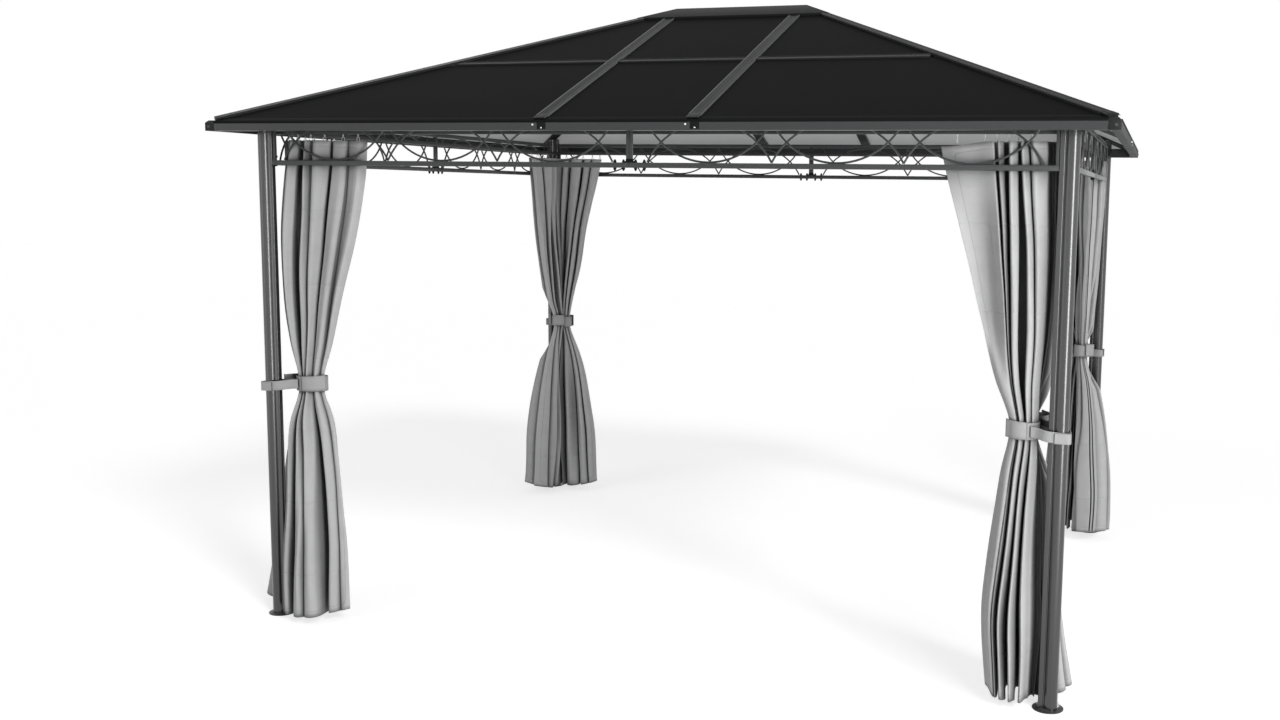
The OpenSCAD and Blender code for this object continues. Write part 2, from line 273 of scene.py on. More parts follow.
# Satin powder coat with its slight orange peel, as light as lift says
def makeCoat(name, lift=1.0, roughness=coat["roughness"], gloss=coat["gloss"], footShade=1.0):
    material, tree, shader = newMaterial(name, Specular_IOR_Level=gloss)
    vector = objectVector(tree)
    weather = weatherNode(tree, vector, coat["patch"], coat["speckle"])
    low, high = (shaded(coat[k], lift) for k in ("low", "high"))
    colour = mixColour(tree, weather.outputs["Patch"], low, high)
    speckled = mixColour(
        tree, mathNode(tree, "MULTIPLY", weather.outputs["Speckle"], 0.25), colour, shaded(high, 1.5)
    )
    if footShade < 1:
        # darker towards the ground, which the roof shades
        height = mathNode(tree, "MULTIPLY", splitVector(tree, vector)[2], 1 / coat["shadeTop"])
        speckled = mixColour(tree, height, shaded(low, footShade), speckled)
    tree.links.new(speckled, shader.inputs["Base Color"])
    roughInto(tree, shader, weather.outputs["Patch"], roughness, coat["uneven"])
    bumpInto(tree, shader, weather.outputs["Speckle"], 0.12, 0.0006)
    return material


sheetSet = {
    "top": (0.0075, 0.0076, 0.0080),
    # the underside's pale colour is painted light, standing for daylight through the sheet
    "under": (0.52, 0.525, 0.53),
    "glow": 0.10,  # daylight that comes through, seen from below
    "flute": 0.0105,
    "roughness": 0.42,
    "facesDown": -0.6,  # a face turned down further than this is the underside
}


def makeSheet(name, axis):  # smoked twin-wall sheet, its flutes running up the slope; its underside is painted pale and glows faintly, painted light for the daylight that comes through
    material, tree, shader = newMaterial(name, Specular_IOR_Level=0.003)
    vector = objectVector(tree)
    turn = mathNode(tree, "MULTIPLY", splitVector(tree, vector)[axis], 2 * math.pi / sheetSet["flute"])
    flute = mathNode(tree, "SINE", turn)
    facing = splitVector(tree, tree.nodes.new("ShaderNodeNewGeometry").outputs["Normal"])
    # faces turned down take the pale colour and the glow: painted light
    under = mathNode(tree, "LESS_THAN", facing[2], sheetSet["facesDown"])
    shader.inputs["Emission Strength"].default_value = 1
    tree.links.new(mixColour(tree, under, (0, 0, 0), [sheetSet["glow"]] * 3), shader.inputs["Emission Color"])
    weather = weatherNode(tree, vector, 1.4, 260.0)
    rib = mathNode(tree, "GREATER_THAN", flute, 0.9)
    top = mixColour(
        tree, mathNode(tree, "MULTIPLY", weather.outputs["Patch"], 0.6), sheetSet["top"],
        shaded(sheetSet["top"], 1.9),
    )
    top = mixColour(tree, mathNode(tree, "MULTIPLY", rib, 0.35), top, shaded(sheetSet["top"], 2.4))
    below = mixColour(
        tree, mathNode(tree, "MULTIPLY", rib, 0.5), sheetSet["under"], shaded(sheetSet["under"], 0.78)
    )
    tree.links.new(mixColour(tree, under, top, below), shader.inputs["Base Color"])
    roughInto(tree, shader, weather.outputs["Patch"], sheetSet["roughness"], 0.12)
    bumpInto(
        tree, shader, mathNode(tree, "MULTIPLY_ADD", flute, 0.5, weather.outputs["Speckle"]), 0.10, 0.0004
    )
    return material


def makeZinc(name):
    material, tree, shader = newMaterial(name, Metallic=1.0)
    weather = weatherNode(tree, objectVector(tree), 60.0, 1500.0)
    tree.links.new(
        mixColour(tree, weather.outputs["Patch"], (0.62, 0.63, 0.64), (0.85, 0.86, 0.87)),
        shader.inputs["Base Color"],
    )
    roughInto(tree, shader, weather.outputs["Speckle"], 0.28, 0.2)
    bumpInto(tree, shader, weather.outputs["Speckle"], 0.1, 0.0003)
    return material


def makePlastic(name, tone, roughness):
    material, tree, shader = newMaterial(name)
    weather = weatherNode(tree, objectVector(tree), 40.0, 1200.0)
    tree.links.new(
        mixColour(tree, weather.outputs["Patch"], [tone * 0.9] * 3, [tone] * 3), shader.inputs["Base Color"]
    )
    roughInto(tree, shader, weather.outputs["Patch"], roughness + 0.075, 0.15)
    bumpInto(tree, shader, weather.outputs["Speckle"], 0.08, 0.0002)
    return material


clothSet = {
    "light": (0.53, 0.53, 0.53),
    "dark": (0.43, 0.43, 0.435),
    "thread": 0.0011,  # spacing of the weave's threads
    "hem": 0.026,
    "seam": 0.0012,  # half the width of the hem's seam
    "stitch": 0.005,
    "creases": 0.31,  # spacing of the packing creases down the cloth
    "roughness": 0.88,
    "shadeReach": 0.075,  # how deep a fold must be to lie in full shade
    "shadePower": 1.5,
}


def makeCloth(name, lift=1.0):  # plain-woven polyester, hemmed all round and creased where it lay folded
    material, tree, shader = newMaterial(
        name, Specular_IOR_Level=0.25, Sheen_Weight=0.12, Sheen_Roughness=0.5
    )
    uv = tree.nodes.new("ShaderNodeUVMap")
    uv.uv_map = "flat"
    across, down = splitVector(tree, uv.outputs[0])[:2]
    turn = 2 * math.pi / clothSet["thread"]
    warp = mathNode(tree, "SINE", mathNode(tree, "MULTIPLY", across, turn))
    weft = mathNode(tree, "SINE", mathNode(tree, "MULTIPLY", down, turn))
    weave = mathNode(tree, "MULTIPLY", warp, weft)
    edge = tree.nodes.new("ShaderNodeAttribute")
    edge.attribute_name = "edge"
    hemLine = mathNode(tree, "COMPARE", edge.outputs["Fac"], clothSet["hem"], clothSet["seam"])
    along = mathNode(tree, "MULTIPLY", mathNode(tree, "ADD", across, down), 2 * math.pi / clothSet["stitch"])
    stitch = mathNode(tree, "GREATER_THAN", mathNode(tree, "SINE", along), -0.4)
    seam = mathNode(tree, "MULTIPLY", hemLine, stitch)
    folded = mathNode(tree, "LESS_THAN", edge.outputs["Fac"], clothSet["hem"])
    wander = noiseNode(tree, uv.outputs[0], 5.0, 3)
    place = mathNode(tree, "MULTIPLY_ADD", wander, 0.03, down)
    crease = mathNode(tree, "PINGPONG", place, clothSet["creases"] / 2)
    crease = mathNode(tree, "SMOOTH_MIN", mathNode(tree, "DIVIDE", crease, 0.006), 1.0, 0.4)
    rumple = noiseNode(tree, uv.outputs[0], 14.0, 4, 0.55)
    tone = mixColour(tree, rumple, shaded(clothSet["dark"], lift), shaded(clothSet["light"], lift))
    tone = mixColour(
        tree, mathNode(tree, "MULTIPLY_ADD", weave, 0.06, 0.06), tone, shaded(clothSet["dark"], 0.75)
    )
    tone = mixColour(tree, mathNode(tree, "MULTIPLY", folded, 0.12), tone, shaded(clothSet["light"], 1.05))
    tone = mixColour(tree, mathNode(tree, "MULTIPLY", seam, 0.55), tone, shaded(clothSet["dark"], 0.45))
    shade = tree.nodes.new("ShaderNodeAmbientOcclusion")
    shade.samples = 8
    shade.inputs["Distance"].default_value = clothSet["shadeReach"]
    openness = mathNode(tree, "POWER", shade.outputs["AO"], clothSet["shadePower"])
    tone = mixColour(tree, openness, shaded(clothSet["dark"], 0.10), tone)
    tree.links.new(tone, shader.inputs["Base Color"])
    roughInto(tree, shader, rumple, clothSet["roughness"], 0.12)
    fine = bumpInto(tree, shader, weave, 0.25, 0.0002)
    height = mathNode(tree, "MULTIPLY_ADD", rumple, 0.55, mathNode(tree, "MULTIPLY", crease, 0.35))
    height = mathNode(
        tree, "MULTIPLY_ADD", hemLine, -0.25, mathNode(tree, "MULTIPLY_ADD", folded, 0.15, height)
    )
    bumpInto(tree, fine, height, 0.5, 0.009)
    return material


finish = {
    "coat": makeCoat("powder_coat"),
    "coatPost": makeCoat("powder_coat_posts", 0.65, 0.24, 1.0, 0.12),
    "coatRoof": makeCoat("powder_coat_covers", 0.42, 0.50, 0.13),
    "coatPaintedHighlight": makeCoat("powder_coat_painted_highlight", 3.4, 0.35, 0.40),
    "coatSide": makeCoat("powder_coat_side_eaves", 1.1, 0.55, 0.05),
    "coatDark": makeCoat("powder_coat_fittings", 0.26, 0.50, 0.05),
    "sheetAcrossX": makeSheet("twin_wall_long_slopes", 0),
    "sheetAcrossY": makeSheet("twin_wall_short_slopes", 1),
    "darkSlopeAndShadeStrip": makeCoat("powder_coat_dark_slope_and_painted_shade_strip", 0.20, 0.50, 0.02),
    "coatFriezeAndHighlight": makeCoat("powder_coat_friezes_and_painted_highlight", 1.35, 0.33, 0.30),
    "zinc": makeZinc("zinc_plate"),
    "hook": makePlastic("hook_plastic", 0.72, 0.4),
    "cap": makePlastic("cap_plastic", 0.03, 0.45),
    "cloth": makeCloth("curtain_polyester"),
    # the ties take a darker copy of the curtain cloth: painted shade
    "clothTieShaded": makeCloth("tie_polyester_painted_shade", 0.80),
}
print("finishes made")


upright = Vector((0, 0, 1))
alongX = Matrix(((0, 0, 1), (1, 0, 0), (0, 1, 0))).to_4x4()  # lays an outline so that it is drawn out along X
alongY = Matrix(((1, 0, 0), (0, 0, 1), (0, 1, 0))).to_4x4()  # or along Y


def settle(bm, name, looks, nodes=(), smooth=38, side="front"):
    bmesh.ops.transform(bm, matrix=sideTurn(side), verts=bm.verts[:])
    mesh = bpy.data.meshes.new(name)
    bm.to_mesh(mesh)
    bm.free()
    for face in mesh.polygons:
        face.use_smooth = True
    mesh.set_sharp_from_angle(angle=math.radians(smooth))
    for look in looks:
        mesh.materials.append(finish[look])
    piece = bpy.data.objects.new(name, mesh)
    bpy.context.scene.collection.objects.link(piece)
    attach(piece, "root")
    if nodes:
        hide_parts(*nodes)
    return piece


def facesOf(verts):
    return list({face for vert in verts for face in vert.link_faces})


def edgesOf(verts):
    return list({edge for vert in verts for edge in vert.link_edges})


def roundOff(bm, verts, edges, offset, segments=2):  # gives the shape's vertices as they are afterwards
    faces = facesOf(verts)
    made = bmesh.ops.bevel(
        bm, geom=edges, offset=offset, segments=segments, profile=0.5, affect="EDGES",
        material=-1, clamp_overlap=True,
    )
    return list({v for f in made["faces"] + faces if f.is_valid for v in f.verts})


def paint(verts, index):
    for face in facesOf(verts):
        face.material_index = index


def frameAlong(start, end, up):
    start, end = Vector(start), Vector(end)
    along = (end - start).normalized()
    across = along.cross(Vector(up)).normalized()
    top = across.cross(along)
    turn = Matrix((across, along, top)).transposed().to_4x4()
    return Matrix.Translation(start) @ turn, (end - start).length


def addBar(bm, start, end, width, height, up=(0, 0, 1), edge=0.0015, index=0):
    place, length = frameAlong(start, end, up)
    scale = Matrix.Translation((0, length / 2, 0)) @ Matrix.Diagonal((width, length, height, 1))
    made = bmesh.ops.create_cube(bm, size=1, matrix=place @ scale)
    paint(roundOff(bm, made["verts"], edgesOf(made["verts"]), edge), index)


def addRod(bm, start, end, radius, segments=16, tip=None, edge=0.0, index=0):
    start, end = Vector(start), Vector(end)
    turn = (end - start).to_track_quat("Z", "Y").to_matrix().to_4x4()
    made = bmesh.ops.create_cone(
        bm,
        cap_ends=True,
        segments=segments,
        radius1=radius,
        radius2=radius if tip is None else tip,
        depth=(end - start).length,
        matrix=Matrix.Translation((start + end) / 2) @ turn,
    )
    verts = made["verts"]
    if edge > 0:
        rims = [e for e in edgesOf(verts) if any(len(f.verts) == segments for f in e.link_faces)]
        verts = roundOff(bm, verts, rims, edge)
    paint(verts, index)


def arc(cx, cy, radius, start, end, steps):
    angles = [math.radians(start + (end - start) * i / steps) for i in range(steps + 1)]
    return [(cx + radius * math.cos(a), cy + radius * math.sin(a)) for a in angles]


def addOutline(bm, points, length, place):  # an outline in XY, drawn out along Z
    verts = [bm.verts.new((x, y, 0)) for x, y in points]
    face = bm.faces.new(verts)
    made = bmesh.ops.extrude_face_region(bm, geom=[face])
    moved = [g for g in made["geom"] if isinstance(g, bmesh.types.BMVert)]
    bmesh.ops.translate(bm, verts=moved, vec=(0, 0, length))
    verts += moved
    bmesh.ops.transform(bm, matrix=place, verts=verts)
    bmesh.ops.recalc_face_normals(bm, faces=facesOf(verts))


def addStack(bm, base, direction, stack):  # rods on one line, as (from, to, radius, sides, tip, edge)
    for low, high, radius, sides, tip, edge in stack:
        addRod(bm, base + direction * low, base + direction * high, radius, sides, tip, edge)


postSet = {
    "lobe": 0.025,
    "rib": 0.024,
    "ribLength": 0.020,
    "groove": 0.002,
    "corner": 0.004,
    "steps": 40,
    "underHip": 0.0215,
}


def postOutline():  # the lobe stands toward +X and -Y
    half = layout["postWidth"] / 2
    lobe = half - postSet["lobe"]
    r, c = postSet["lobe"], postSet["corner"]
    halfRib, narrow = postSet["rib"] / 2, postSet["rib"] / 2 - postSet["groove"]
    reach = math.degrees(math.asin(narrow / r))
    step = math.degrees(math.acos((narrow - halfRib + c) / c))
    far, near = half - c, half - postSet["ribLength"] + c
    low, high = lobe - halfRib + c, lobe + halfRib - c
    outline = arc(lobe, -lobe, r, 180 + reach, 450 - reach, postSet["steps"])
    outline += arc(high, near, c, -step, 0, 4) + arc(high, far, c, 0, 90, 5)
    outline += arc(low, far, c, 90, 180, 5) + arc(low, near, c, 180, 180 + step, 4)
    outline += arc(lobe, -lobe, r, 90 + reach, 180 - reach, 6)
    outline += arc(-near, -low, c, 90 - step, 90, 4) + arc(-far, -low, c, 90, 180, 5)
    outline += arc(-far, -high, c, 180, 270, 5) + arc(-near, -high, c, 270, 270 + step, 4)
    return outline


def corners():
    for sx, sy in ((-1, -1), (1, -1), (1, 1), (-1, 1)):
        name = ("back" if sy > 0 else "front") + "_" + ("right" if sx > 0 else "left")
        turn = {(1, -1): 0, (1, 1): 90, (-1, 1): 180, (-1, -1): 270}[(sx, sy)]
        place = Matrix.Translation((sx * layout["postX"], sy * layout["postY"], 0))
        yield name, sx, sy, place @ Matrix.Rotation(math.radians(turn), 4, "Z")


def makePosts():
    foot = plateBox[1].z
    for name, sx, sy, place in corners():
        bm = bmesh.new()
        addOutline(bm, postOutline(), postBox[1].z + 0.05 - foot, place @ Matrix.Translation((0, 0, foot)))
        corner = Vector((sx * halfL, sy * halfW, layout["eaveTop"]))
        outward = math.sin(hipPitch) / math.sqrt(2)
        upward = Vector((sx * outward, sy * outward, math.cos(hipPitch)))
        # cut off under the hip bar
        under = corner - upward * postSet["underHip"]
        geom = bm.verts[:] + bm.edges[:] + bm.faces[:]
        cut = bmesh.ops.bisect_plane(bm, geom=geom, plane_co=under, plane_no=upward, clear_outer=True)
        rim = [g for g in cut["geom_cut"] if isinstance(g, bmesh.types.BMEdge)]
        bmesh.ops.contextual_create(bm, geom=rim)
        bmesh.ops.recalc_face_normals(bm, faces=bm.faces[:])
        settle(bm, name + "_fluted_post", ["coatPost"], [name + "_post"], 30)


footSet = {
    "radius": plateBox[1].x - layout["postX"],
    "thick": plateBox[1].z,
    "collar": (0.0035, 0.0075, layout["postWidth"] * 0.56, 48, layout["postWidth"] * 0.47, 0),
    "boltSpan": 0.064,
    "boltIn": 0.022,
    "washer": ((0, 0.0016, 0.010, 24, None, 0.0004),),
    "bolt": (  # washer, head and thread, which lean together
        (0.0012, 0.0027, 0.0088, 20, None, 0.0004),
        (0.0027, 0.0082, 0.0066, 6, None, 0.0006),
        (0.004, 0.016, 0.0040, 12, None, 0.0008),
    ),
}


def makeFeet():
    bm = bmesh.new()
    for name, sx, sy, place in corners():
        plate = (0, footSet["thick"], footSet["radius"], 72, None, 0.0012)
        addStack(bm, place.translation, upright, (plate, footSet["collar"]))
    settle(bm, "round_foot_plates", ["coat"], ["base_plates"], 30)
    bm = bmesh.new()
    rng = random.Random(7)
    for name, sx, sy, place in corners():
        for side in (-1, 1):
            x = sx * layout["postX"] + side * footSet["boltSpan"] / 2
            base = Vector((x, sy * (layout["postY"] - footSet["boltIn"]), footSet["thick"]))
            leanX = rng.uniform(-0.12, 0.12) + 0.22 * side * (side == sx)
            lean = Vector((leanX, rng.uniform(-0.1, 0.1), 1)).normalized()
            addStack(bm, base, upright, footSet["washer"])
            addStack(bm, base, lean, footSet["bolt"])
    settle(bm, "anchor_bolts", ["zinc"])


makePosts()
makeFeet()
print("posts made")


friezeSet = {
    "rail": 0.020,
    "bar": 0.0040,  # radius of the bent bars
    "cross": 0.0022,  # how far a bar stands off the line where two of them cross
    "upright": 0.012,
    "arches": 3,
    "midGap": 0.072,
    "endGap": 0.088,
    "steps": 26,
    "nuts": (0.025, 0.061),
    "capNut": (
        (0, 0.0012, 0.0072, 18, None, 0.0003),
        (0.0012, 0.0062, 0.0060, 6, None, 0.0005),
        (0.0062, 0.0098, 0.0050, 14, 0.0040, 0),
        (0.0098, 0.0122, 0.0040, 14, 0.0016, 0),
    ),
    "collar": ((0.017, 0.003, 0.018, 0.006), (0.013, 0.010, 0.015, 0.008)),
    "clampIn": 0.012,  # the clamps' place, from the posts
    "clampPins": ((0, 0.012, 0.0035, 12, None, 0.0006), (-0.025, -0.020, 0.0055, 16, None, 0.0008)),
}


def addArch(bm, x0, x1, zEnd, zMiddle, y):  # one round bar bent to an arc, in the XZ plane
    chord, rise = x1 - x0, zEnd - zMiddle
    hang = 1 if rise > 0 else -1
    rise = abs(rise)
    radius = (chord * chord / 4 + rise * rise) / (2 * rise)
    centre = Vector(((x0 + x1) / 2, y, zMiddle + hang * radius))
    sweep = 2 * math.asin(chord / 2 / radius)
    start = Vector((x0, y, zEnd))
    spoke = (start - centre).normalized()
    tangent = Vector((0, 1, 0)).cross(spoke)
    turn = Matrix((Vector((0, 1, 0)), spoke, tangent)).transposed().to_4x4()
    place = Matrix.Translation(start) @ turn
    made = bmesh.ops.create_circle(bm, cap_ends=True, radius=friezeSet["bar"], segments=8, matrix=place)
    geom = made["verts"] + edgesOf(made["verts"]) + facesOf(made["verts"])
    bmesh.ops.spin(
        bm, geom=geom, cent=centre, axis=(0, -hang, 0), dvec=(0, 0, 0), angle=sweep, steps=friezeSet["steps"],
        use_merge=False,
    )


def makeFrieze(side, sign):
    span, line = sideSpan(side), sideLine(side)
    y = -(line + layout["friezeOut"])
    low, high, rail = layout["friezeLow"], layout["friezeHigh"], friezeSet["rail"]
    end = span - layout["postWidth"] / 2 - 0.001
    bm = bmesh.new()
    for z in (low + rail / 2, high - rail / 2):
        addBar(bm, (sign * 0.0006, y, z), (sign * end, y, z), rail, rail, edge=0.0018)
    width = friezeSet["upright"]
    for x in (0.0006 + width / 2, end - width / 2):
        foot, head = (sign * x, y, low + rail * 0.9), (sign * x, y, high - rail * 0.9)
        addBar(bm, foot, head, width, width, up=(0, 1, 0), edge=0.0012)
    unit = (span - friezeSet["midGap"] - friezeSet["endGap"]) / friezeSet["arches"]
    inLow, inHigh = low + rail + friezeSet["bar"] * 0.6, high - rail - friezeSet["bar"] * 0.6
    for i in range(friezeSet["arches"]):
        x0 = friezeSet["midGap"] + i * unit
        ends = sorted((sign * x0, sign * (x0 + unit)))
        addArch(bm, *ends, inHigh, inLow, y - friezeSet["cross"])
        addArch(bm, *ends, inLow, inHigh, y + friezeSet["cross"])
    bmesh.ops.recalc_face_normals(bm, faces=bm.faces[:])
    half = halfNames[side][0 if sign < 0 else 1]
    settle(bm, f"{side}_{half}_arched_frieze", ["coatFriezeAndHighlight"], [f"{side}_{half}_frieze"], 40, side=side)


def makeJointBolts(side):  # cap nuts through the lower rail beside the middle joint
    y = -(sideLine(side) + layout["friezeOut"])
    low, rail = layout["friezeLow"], friezeSet["rail"]
    bm = bmesh.new()
    for x in [s * n for s in (-1, 1) for n in friezeSet["nuts"]]:
        for base, way in ((low, -1), (low + rail, 1)):
            addStack(bm, Vector((x, y, base)), upright * way, friezeSet["capNut"])
    collar = Vector((0, y, low + rail))
    for wide, up, deep, high in friezeSet["collar"]:
        ends = (collar + Vector((way * wide, 0, up)) for way in (-1, 1))
        addBar(bm, *ends, deep, high, edge=0.001)
    # a clamp at each post end of both rails
    end = sideSpan(side) - layout["postWidth"] / 2
    for sign in (-1, 1):
        base = Vector((sign * (end - friezeSet["clampIn"]), y, low + rail))
        addStack(bm, base, upright, friezeSet["clampPins"])
        middle, reach = base + upright * 0.013, Vector((0.009, -0.002, 0.003))
        addBar(bm, middle - reach, middle + reach, 0.004, 0.007, edge=0.001)
    settle(bm, side + "_frieze_nuts", ["coatDark"], side=side)


for side in sides:
    makeFrieze(side, -1)
    makeFrieze(side, 1)
    makeJointBolts(side)
print("friezes made")


eaveSet = {
    "depth": eaveBox[1].y - eaveBox[0].y,
    "height": layout["eaveTop"] - layout["eaveZ"],
    "inset": 0.003,  # plates and screw heads on the face make up the rest
    "corner": 0.045,
    "joint": 0.0008,
    "face": 0.030,  # the height of its plain face, under a dark strip along its top, painted shade
    "screws": (  # beside each joint: right, up, how proud, radius, radius at the tip
        (-0.022, 0.003, 0.0028, 0.0050, 0.0034),
        (0.014, -0.009, 0.0027, 0.0040, 0.0026),
    ),
}
capSet = {
    "inset": 0.0025,
    "crest": 0.010,
    "edge": 0.0014,
    "plugUp": 0.017,
    "plugIn": 0.020,
    "plugDeep": 0.005,
}
rafterX = ridgeHalf - 0.017
roofSet = {
    "barDown": 0.021,
    "barUp": 0.004,
    "rafter": 0.050,
    "purlin": 0.040,
    "purlinAt": 0.475,
    "hub": 0.060,
    "hip": 0.052,
    "hipLean": math.radians(15.5),
    "cover": 0.062,
    "capReach": 0.146,
    "capThick": 0.0028,
    "capLip": 0.012,
}
slopeLength = halfW / math.cos(pitch)


def slopePlace(side):  # X along the eave, Y up the slope, Z out of it
    low = Matrix.Translation((0, -sideEave(side)[1], layout["eaveTop"]))
    return sideTurn(side) @ low @ Matrix.Rotation(pitch, 4, "X")


def eaveOutline():  # out of the roof is -X here, up is +Y
    d, h, t = eaveSet["depth"], eaveSet["height"], eaveSet["inset"]
    top = h + d * math.tan(pitch)
    r = 0.0022
    outline = arc(t + r, r, r, 180, 270, 4) + [(d, 0), (d, top)]
    outline += [(t + 0.006, h + 0.006 * math.tan(pitch)), (t + 0.004, h)]
    return outline + arc(t + r, h - r, r, 90, 180, 4)


def makeEave(side):
    along, out = sideEave(side)
    end = along - eaveSet["corner"] - 0.001
    cuts = [-end, -rafterX, rafterX, end] if isLong(side) else [-end, 0, end]
    bm = bmesh.new()
    for a, b in zip(cuts, cuts[1:]):
        place = Matrix.Translation((a + eaveSet["joint"] / 2, -out, layout["eaveZ"])) @ alongX
        addOutline(bm, eaveOutline(), b - a - eaveSet["joint"], place)
    for face in bm.faces:
        # its top slope runs on from the sheets and is as dark as they are
        face.material_index = int(face.calc_center_median().z > layout["eaveTop"] - 0.0003)
    paintOf = "coat" if isLong(side) else "coatSide"
    settle(bm, side + "_eave_channel", [paintOf, "darkSlopeAndShadeStrip"], [side + "_eave_beam"], 35, side=side)
    bm = bmesh.new()
    face = -out + eaveSet["inset"]
    middle = layout["eaveZ"] + eaveSet["height"] / 2
    # a dark strip along the top of the face: painted shade
    darkSlopeAndShadeStrip = layout["eaveZ"] + (eaveSet["face"] + eaveSet["height"]) / 2
    tall = eaveSet["height"] - eaveSet["face"]
    addBar(bm, (-end, face - 0.0006, darkSlopeAndShadeStrip), (end, face - 0.0006, darkSlopeAndShadeStrip), 0.0022, tall, edge=0.0006, index=2)
    for x in cuts[1:-1]:
        # splice plate over the joint, under the rafter's foot, with its screws
        plate = face - 0.0007
        addBar(
            bm, (x - 0.004, plate, middle + 0.001), (x + 0.032, plate, middle + 0.001), 0.0014, 0.030,
            edge=0.0006,
        )
        for right, up, proud, radius, tip in eaveSet["screws"]:
            root, head = (x + right, face + 0.001, middle + up), (x + right, face - proud, middle + up)
            addRod(bm, root, head, radius, 20, tip, edge=0.0006, index=1)
    settle(bm, side + "_eave_splices", ["coatDark", "zinc", "darkSlopeAndShadeStrip"], side=side)


def makeCornerCaps():
    bm = bmesh.new()
    size, tall = eaveSet["corner"], cornerBox[1].z - cornerBox[0].z
    inset = capSet["inset"]
    half = size / 2 + inset / 2
    for name, sx, sy, place in corners():
        middle = (sx * (halfL - half), sy * (halfW - half), layout["eaveZ"] + tall / 2)
        scale = Matrix.Diagonal((size - inset, size - inset, tall, 1))
        made = bmesh.ops.create_cube(bm, size=1, matrix=Matrix.Translation(middle) @ scale)
        out = max(made["verts"], key=lambda v: v.co.x * sx + v.co.y * sy + v.co.z)
        crest = [e for e in out.link_edges if abs(e.other_vert(out).co.z - out.co.z) < 0.001]
        roundOff(bm, made["verts"], crest, capSet["crest"], 1)
    roundOff(bm, bm.verts[:], bm.edges[:], capSet["edge"])
    for name, sx, sy, place in corners():
        z = layout["eaveZ"] + capSet["plugUp"]
        endX, endY = sx * (halfL - capSet["plugIn"]), sy * (halfW - capSet["plugIn"])
        rootX, rootY = sx * (halfL - capSet["plugDeep"]), sy * (halfW - capSet["plugDeep"])
        plugs = ((rootX, endY, z), (sx * halfL, endY, z)), ((endX, rootY, z), (endX, sy * halfW, z))
        for root, head in plugs:
            addRod(bm, root, head, 0.0075, 24, tip=0.0055, edge=0.0008, index=1)
    settle(bm, "moulded_corner_caps", ["coatRoof", "cap"], ["eave_corner_caps"], 30)


hipSet = {
    "start": 0.045,  # the cover begins this far from the corner
    "lift": 0.0085,
    "thick": 0.0018,
    "ribs": (-0.021, 0, 0.021),
    "ribWidth": 0.0055,
    "ribHeight": 0.0024,
    "ribSlope": 0.0008,
    "flanks": 0.028,  # sideways faces within this reach take the lighter frieze coat, a painted highlight
    "wedge": 0.044,
}


def ribbed(fall):  # cross-section of a cover strip, folded down at both sides
    half, slope, thick = roofSet["cover"] / 2, hipSet["ribSlope"], hipSet["thick"]
    marks = [(-half, 0)]
    for r in hipSet["ribs"]:
        low, high = r - hipSet["ribWidth"] / 2, r + hipSet["ribWidth"] / 2
        marks += [
            (low - slope, 0), (low, hipSet["ribHeight"]), (high, hipSet["ribHeight"]), (high + slope, 0)
        ]
    marks.append((half, 0))
    top = [(a, lift - abs(a) * fall) for a, lift in marks]
    return top[::-1] + [(-half, -thick - half * fall), (0, -thick), (half, -thick - half * fall)]


def makeHip(name, sx, sy):
    corner = Vector((sx * halfL, sy * halfW, layout["eaveTop"]))
    end = Vector((sx * ridgeHalf, 0, layout["ridgeZ"]))
    place, length = frameAlong(corner, end, (0, 0, 1))
    fall = math.tan(math.asin(math.sin(pitch) / math.sqrt(2)))
    hubStop = (roofSet["hub"] + 0.002) / math.cos(hipPitch)
    barStart = (eaveSet["depth"] * math.sqrt(2) + roofSet["hip"] / 2 + 0.004) / math.cos(hipPitch)
    bm = bmesh.new()
    start = hipSet["start"]
    low = place @ Matrix.Translation((0, start, hipSet["lift"])) @ alongY
    addOutline(bm, ribbed(fall * 0.9), length - hubStop - start - 0.01, low)
    # sideways faces near the hip's line take the lighter coat: painted highlights along the ribs
    sideways = place.to_3x3() @ Vector((1, 0, 0))
    bm.normal_update()
    for face in bm.faces:
        inside = abs((place.inverted() @ face.calc_center_median()).x) < hipSet["flanks"]
        face.material_index = int(inside and abs(face.normal.dot(sideways)) > 0.8)
    half, down = roofSet["hip"] / 2, roofSet["barDown"]
    rise = 0.006
    body = [(-half, -down + 0.002), (-half + 0.002, -down), (-0.006, -down), (-0.005, -down + 0.002)]
    body += [(0.005, -down + 0.002), (0.006, -down), (half - 0.002, -down), (half, -down + 0.002)]
    body += [(half, -half * fall + rise), (0, rise), (-half, -half * fall + rise)]
    low = place @ Matrix.Translation((0, barStart, 0)) @ alongY
    addOutline(bm, body, length - hubStop - barStart, low)
    # a wedge closes the cover's low end, down to the corner cap
    rest = (start, barStart - 0.001)
    low = [cornerBox[1].z - layout["eaveTop"] + 0.0003 - s * math.sin(hipPitch) for s in rest]
    wedge = [(rest[0], 0.007), (rest[0], low[0]), (rest[1], low[1]), (rest[1], 0.007)]
    across = hipSet["wedge"]
    addOutline(bm, wedge, across, place @ Matrix.Translation((-across / 2, 0, 0)) @ alongX)
    settle(bm, name + "_ribbed_hip", ["coatRoof", "coatFriezeAndHighlight"], [name + "_hip_bar"], 30)


def rafterOutline():  # a lip along both sides, and a groove in the middle
    half, down, up = roofSet["rafter"] / 2, roofSet["barDown"], roofSet["barUp"]
    lip, lipTop = half - 0.0028, up + 0.0035
    outline = [(-half, -down + 0.002), (-half + 0.002, -down), (half - 0.002, -down), (half, -down + 0.002)]
    outline += [(half, lipTop), (lip, lipTop), (lip - 0.001, up), (0.0045, up), (0.0035, up - 0.0012)]
    outline += [(-0.0035, up - 0.0012), (-0.0045, up), (-lip + 0.001, up), (-lip, lipTop), (-half, lipTop)]
    return outline


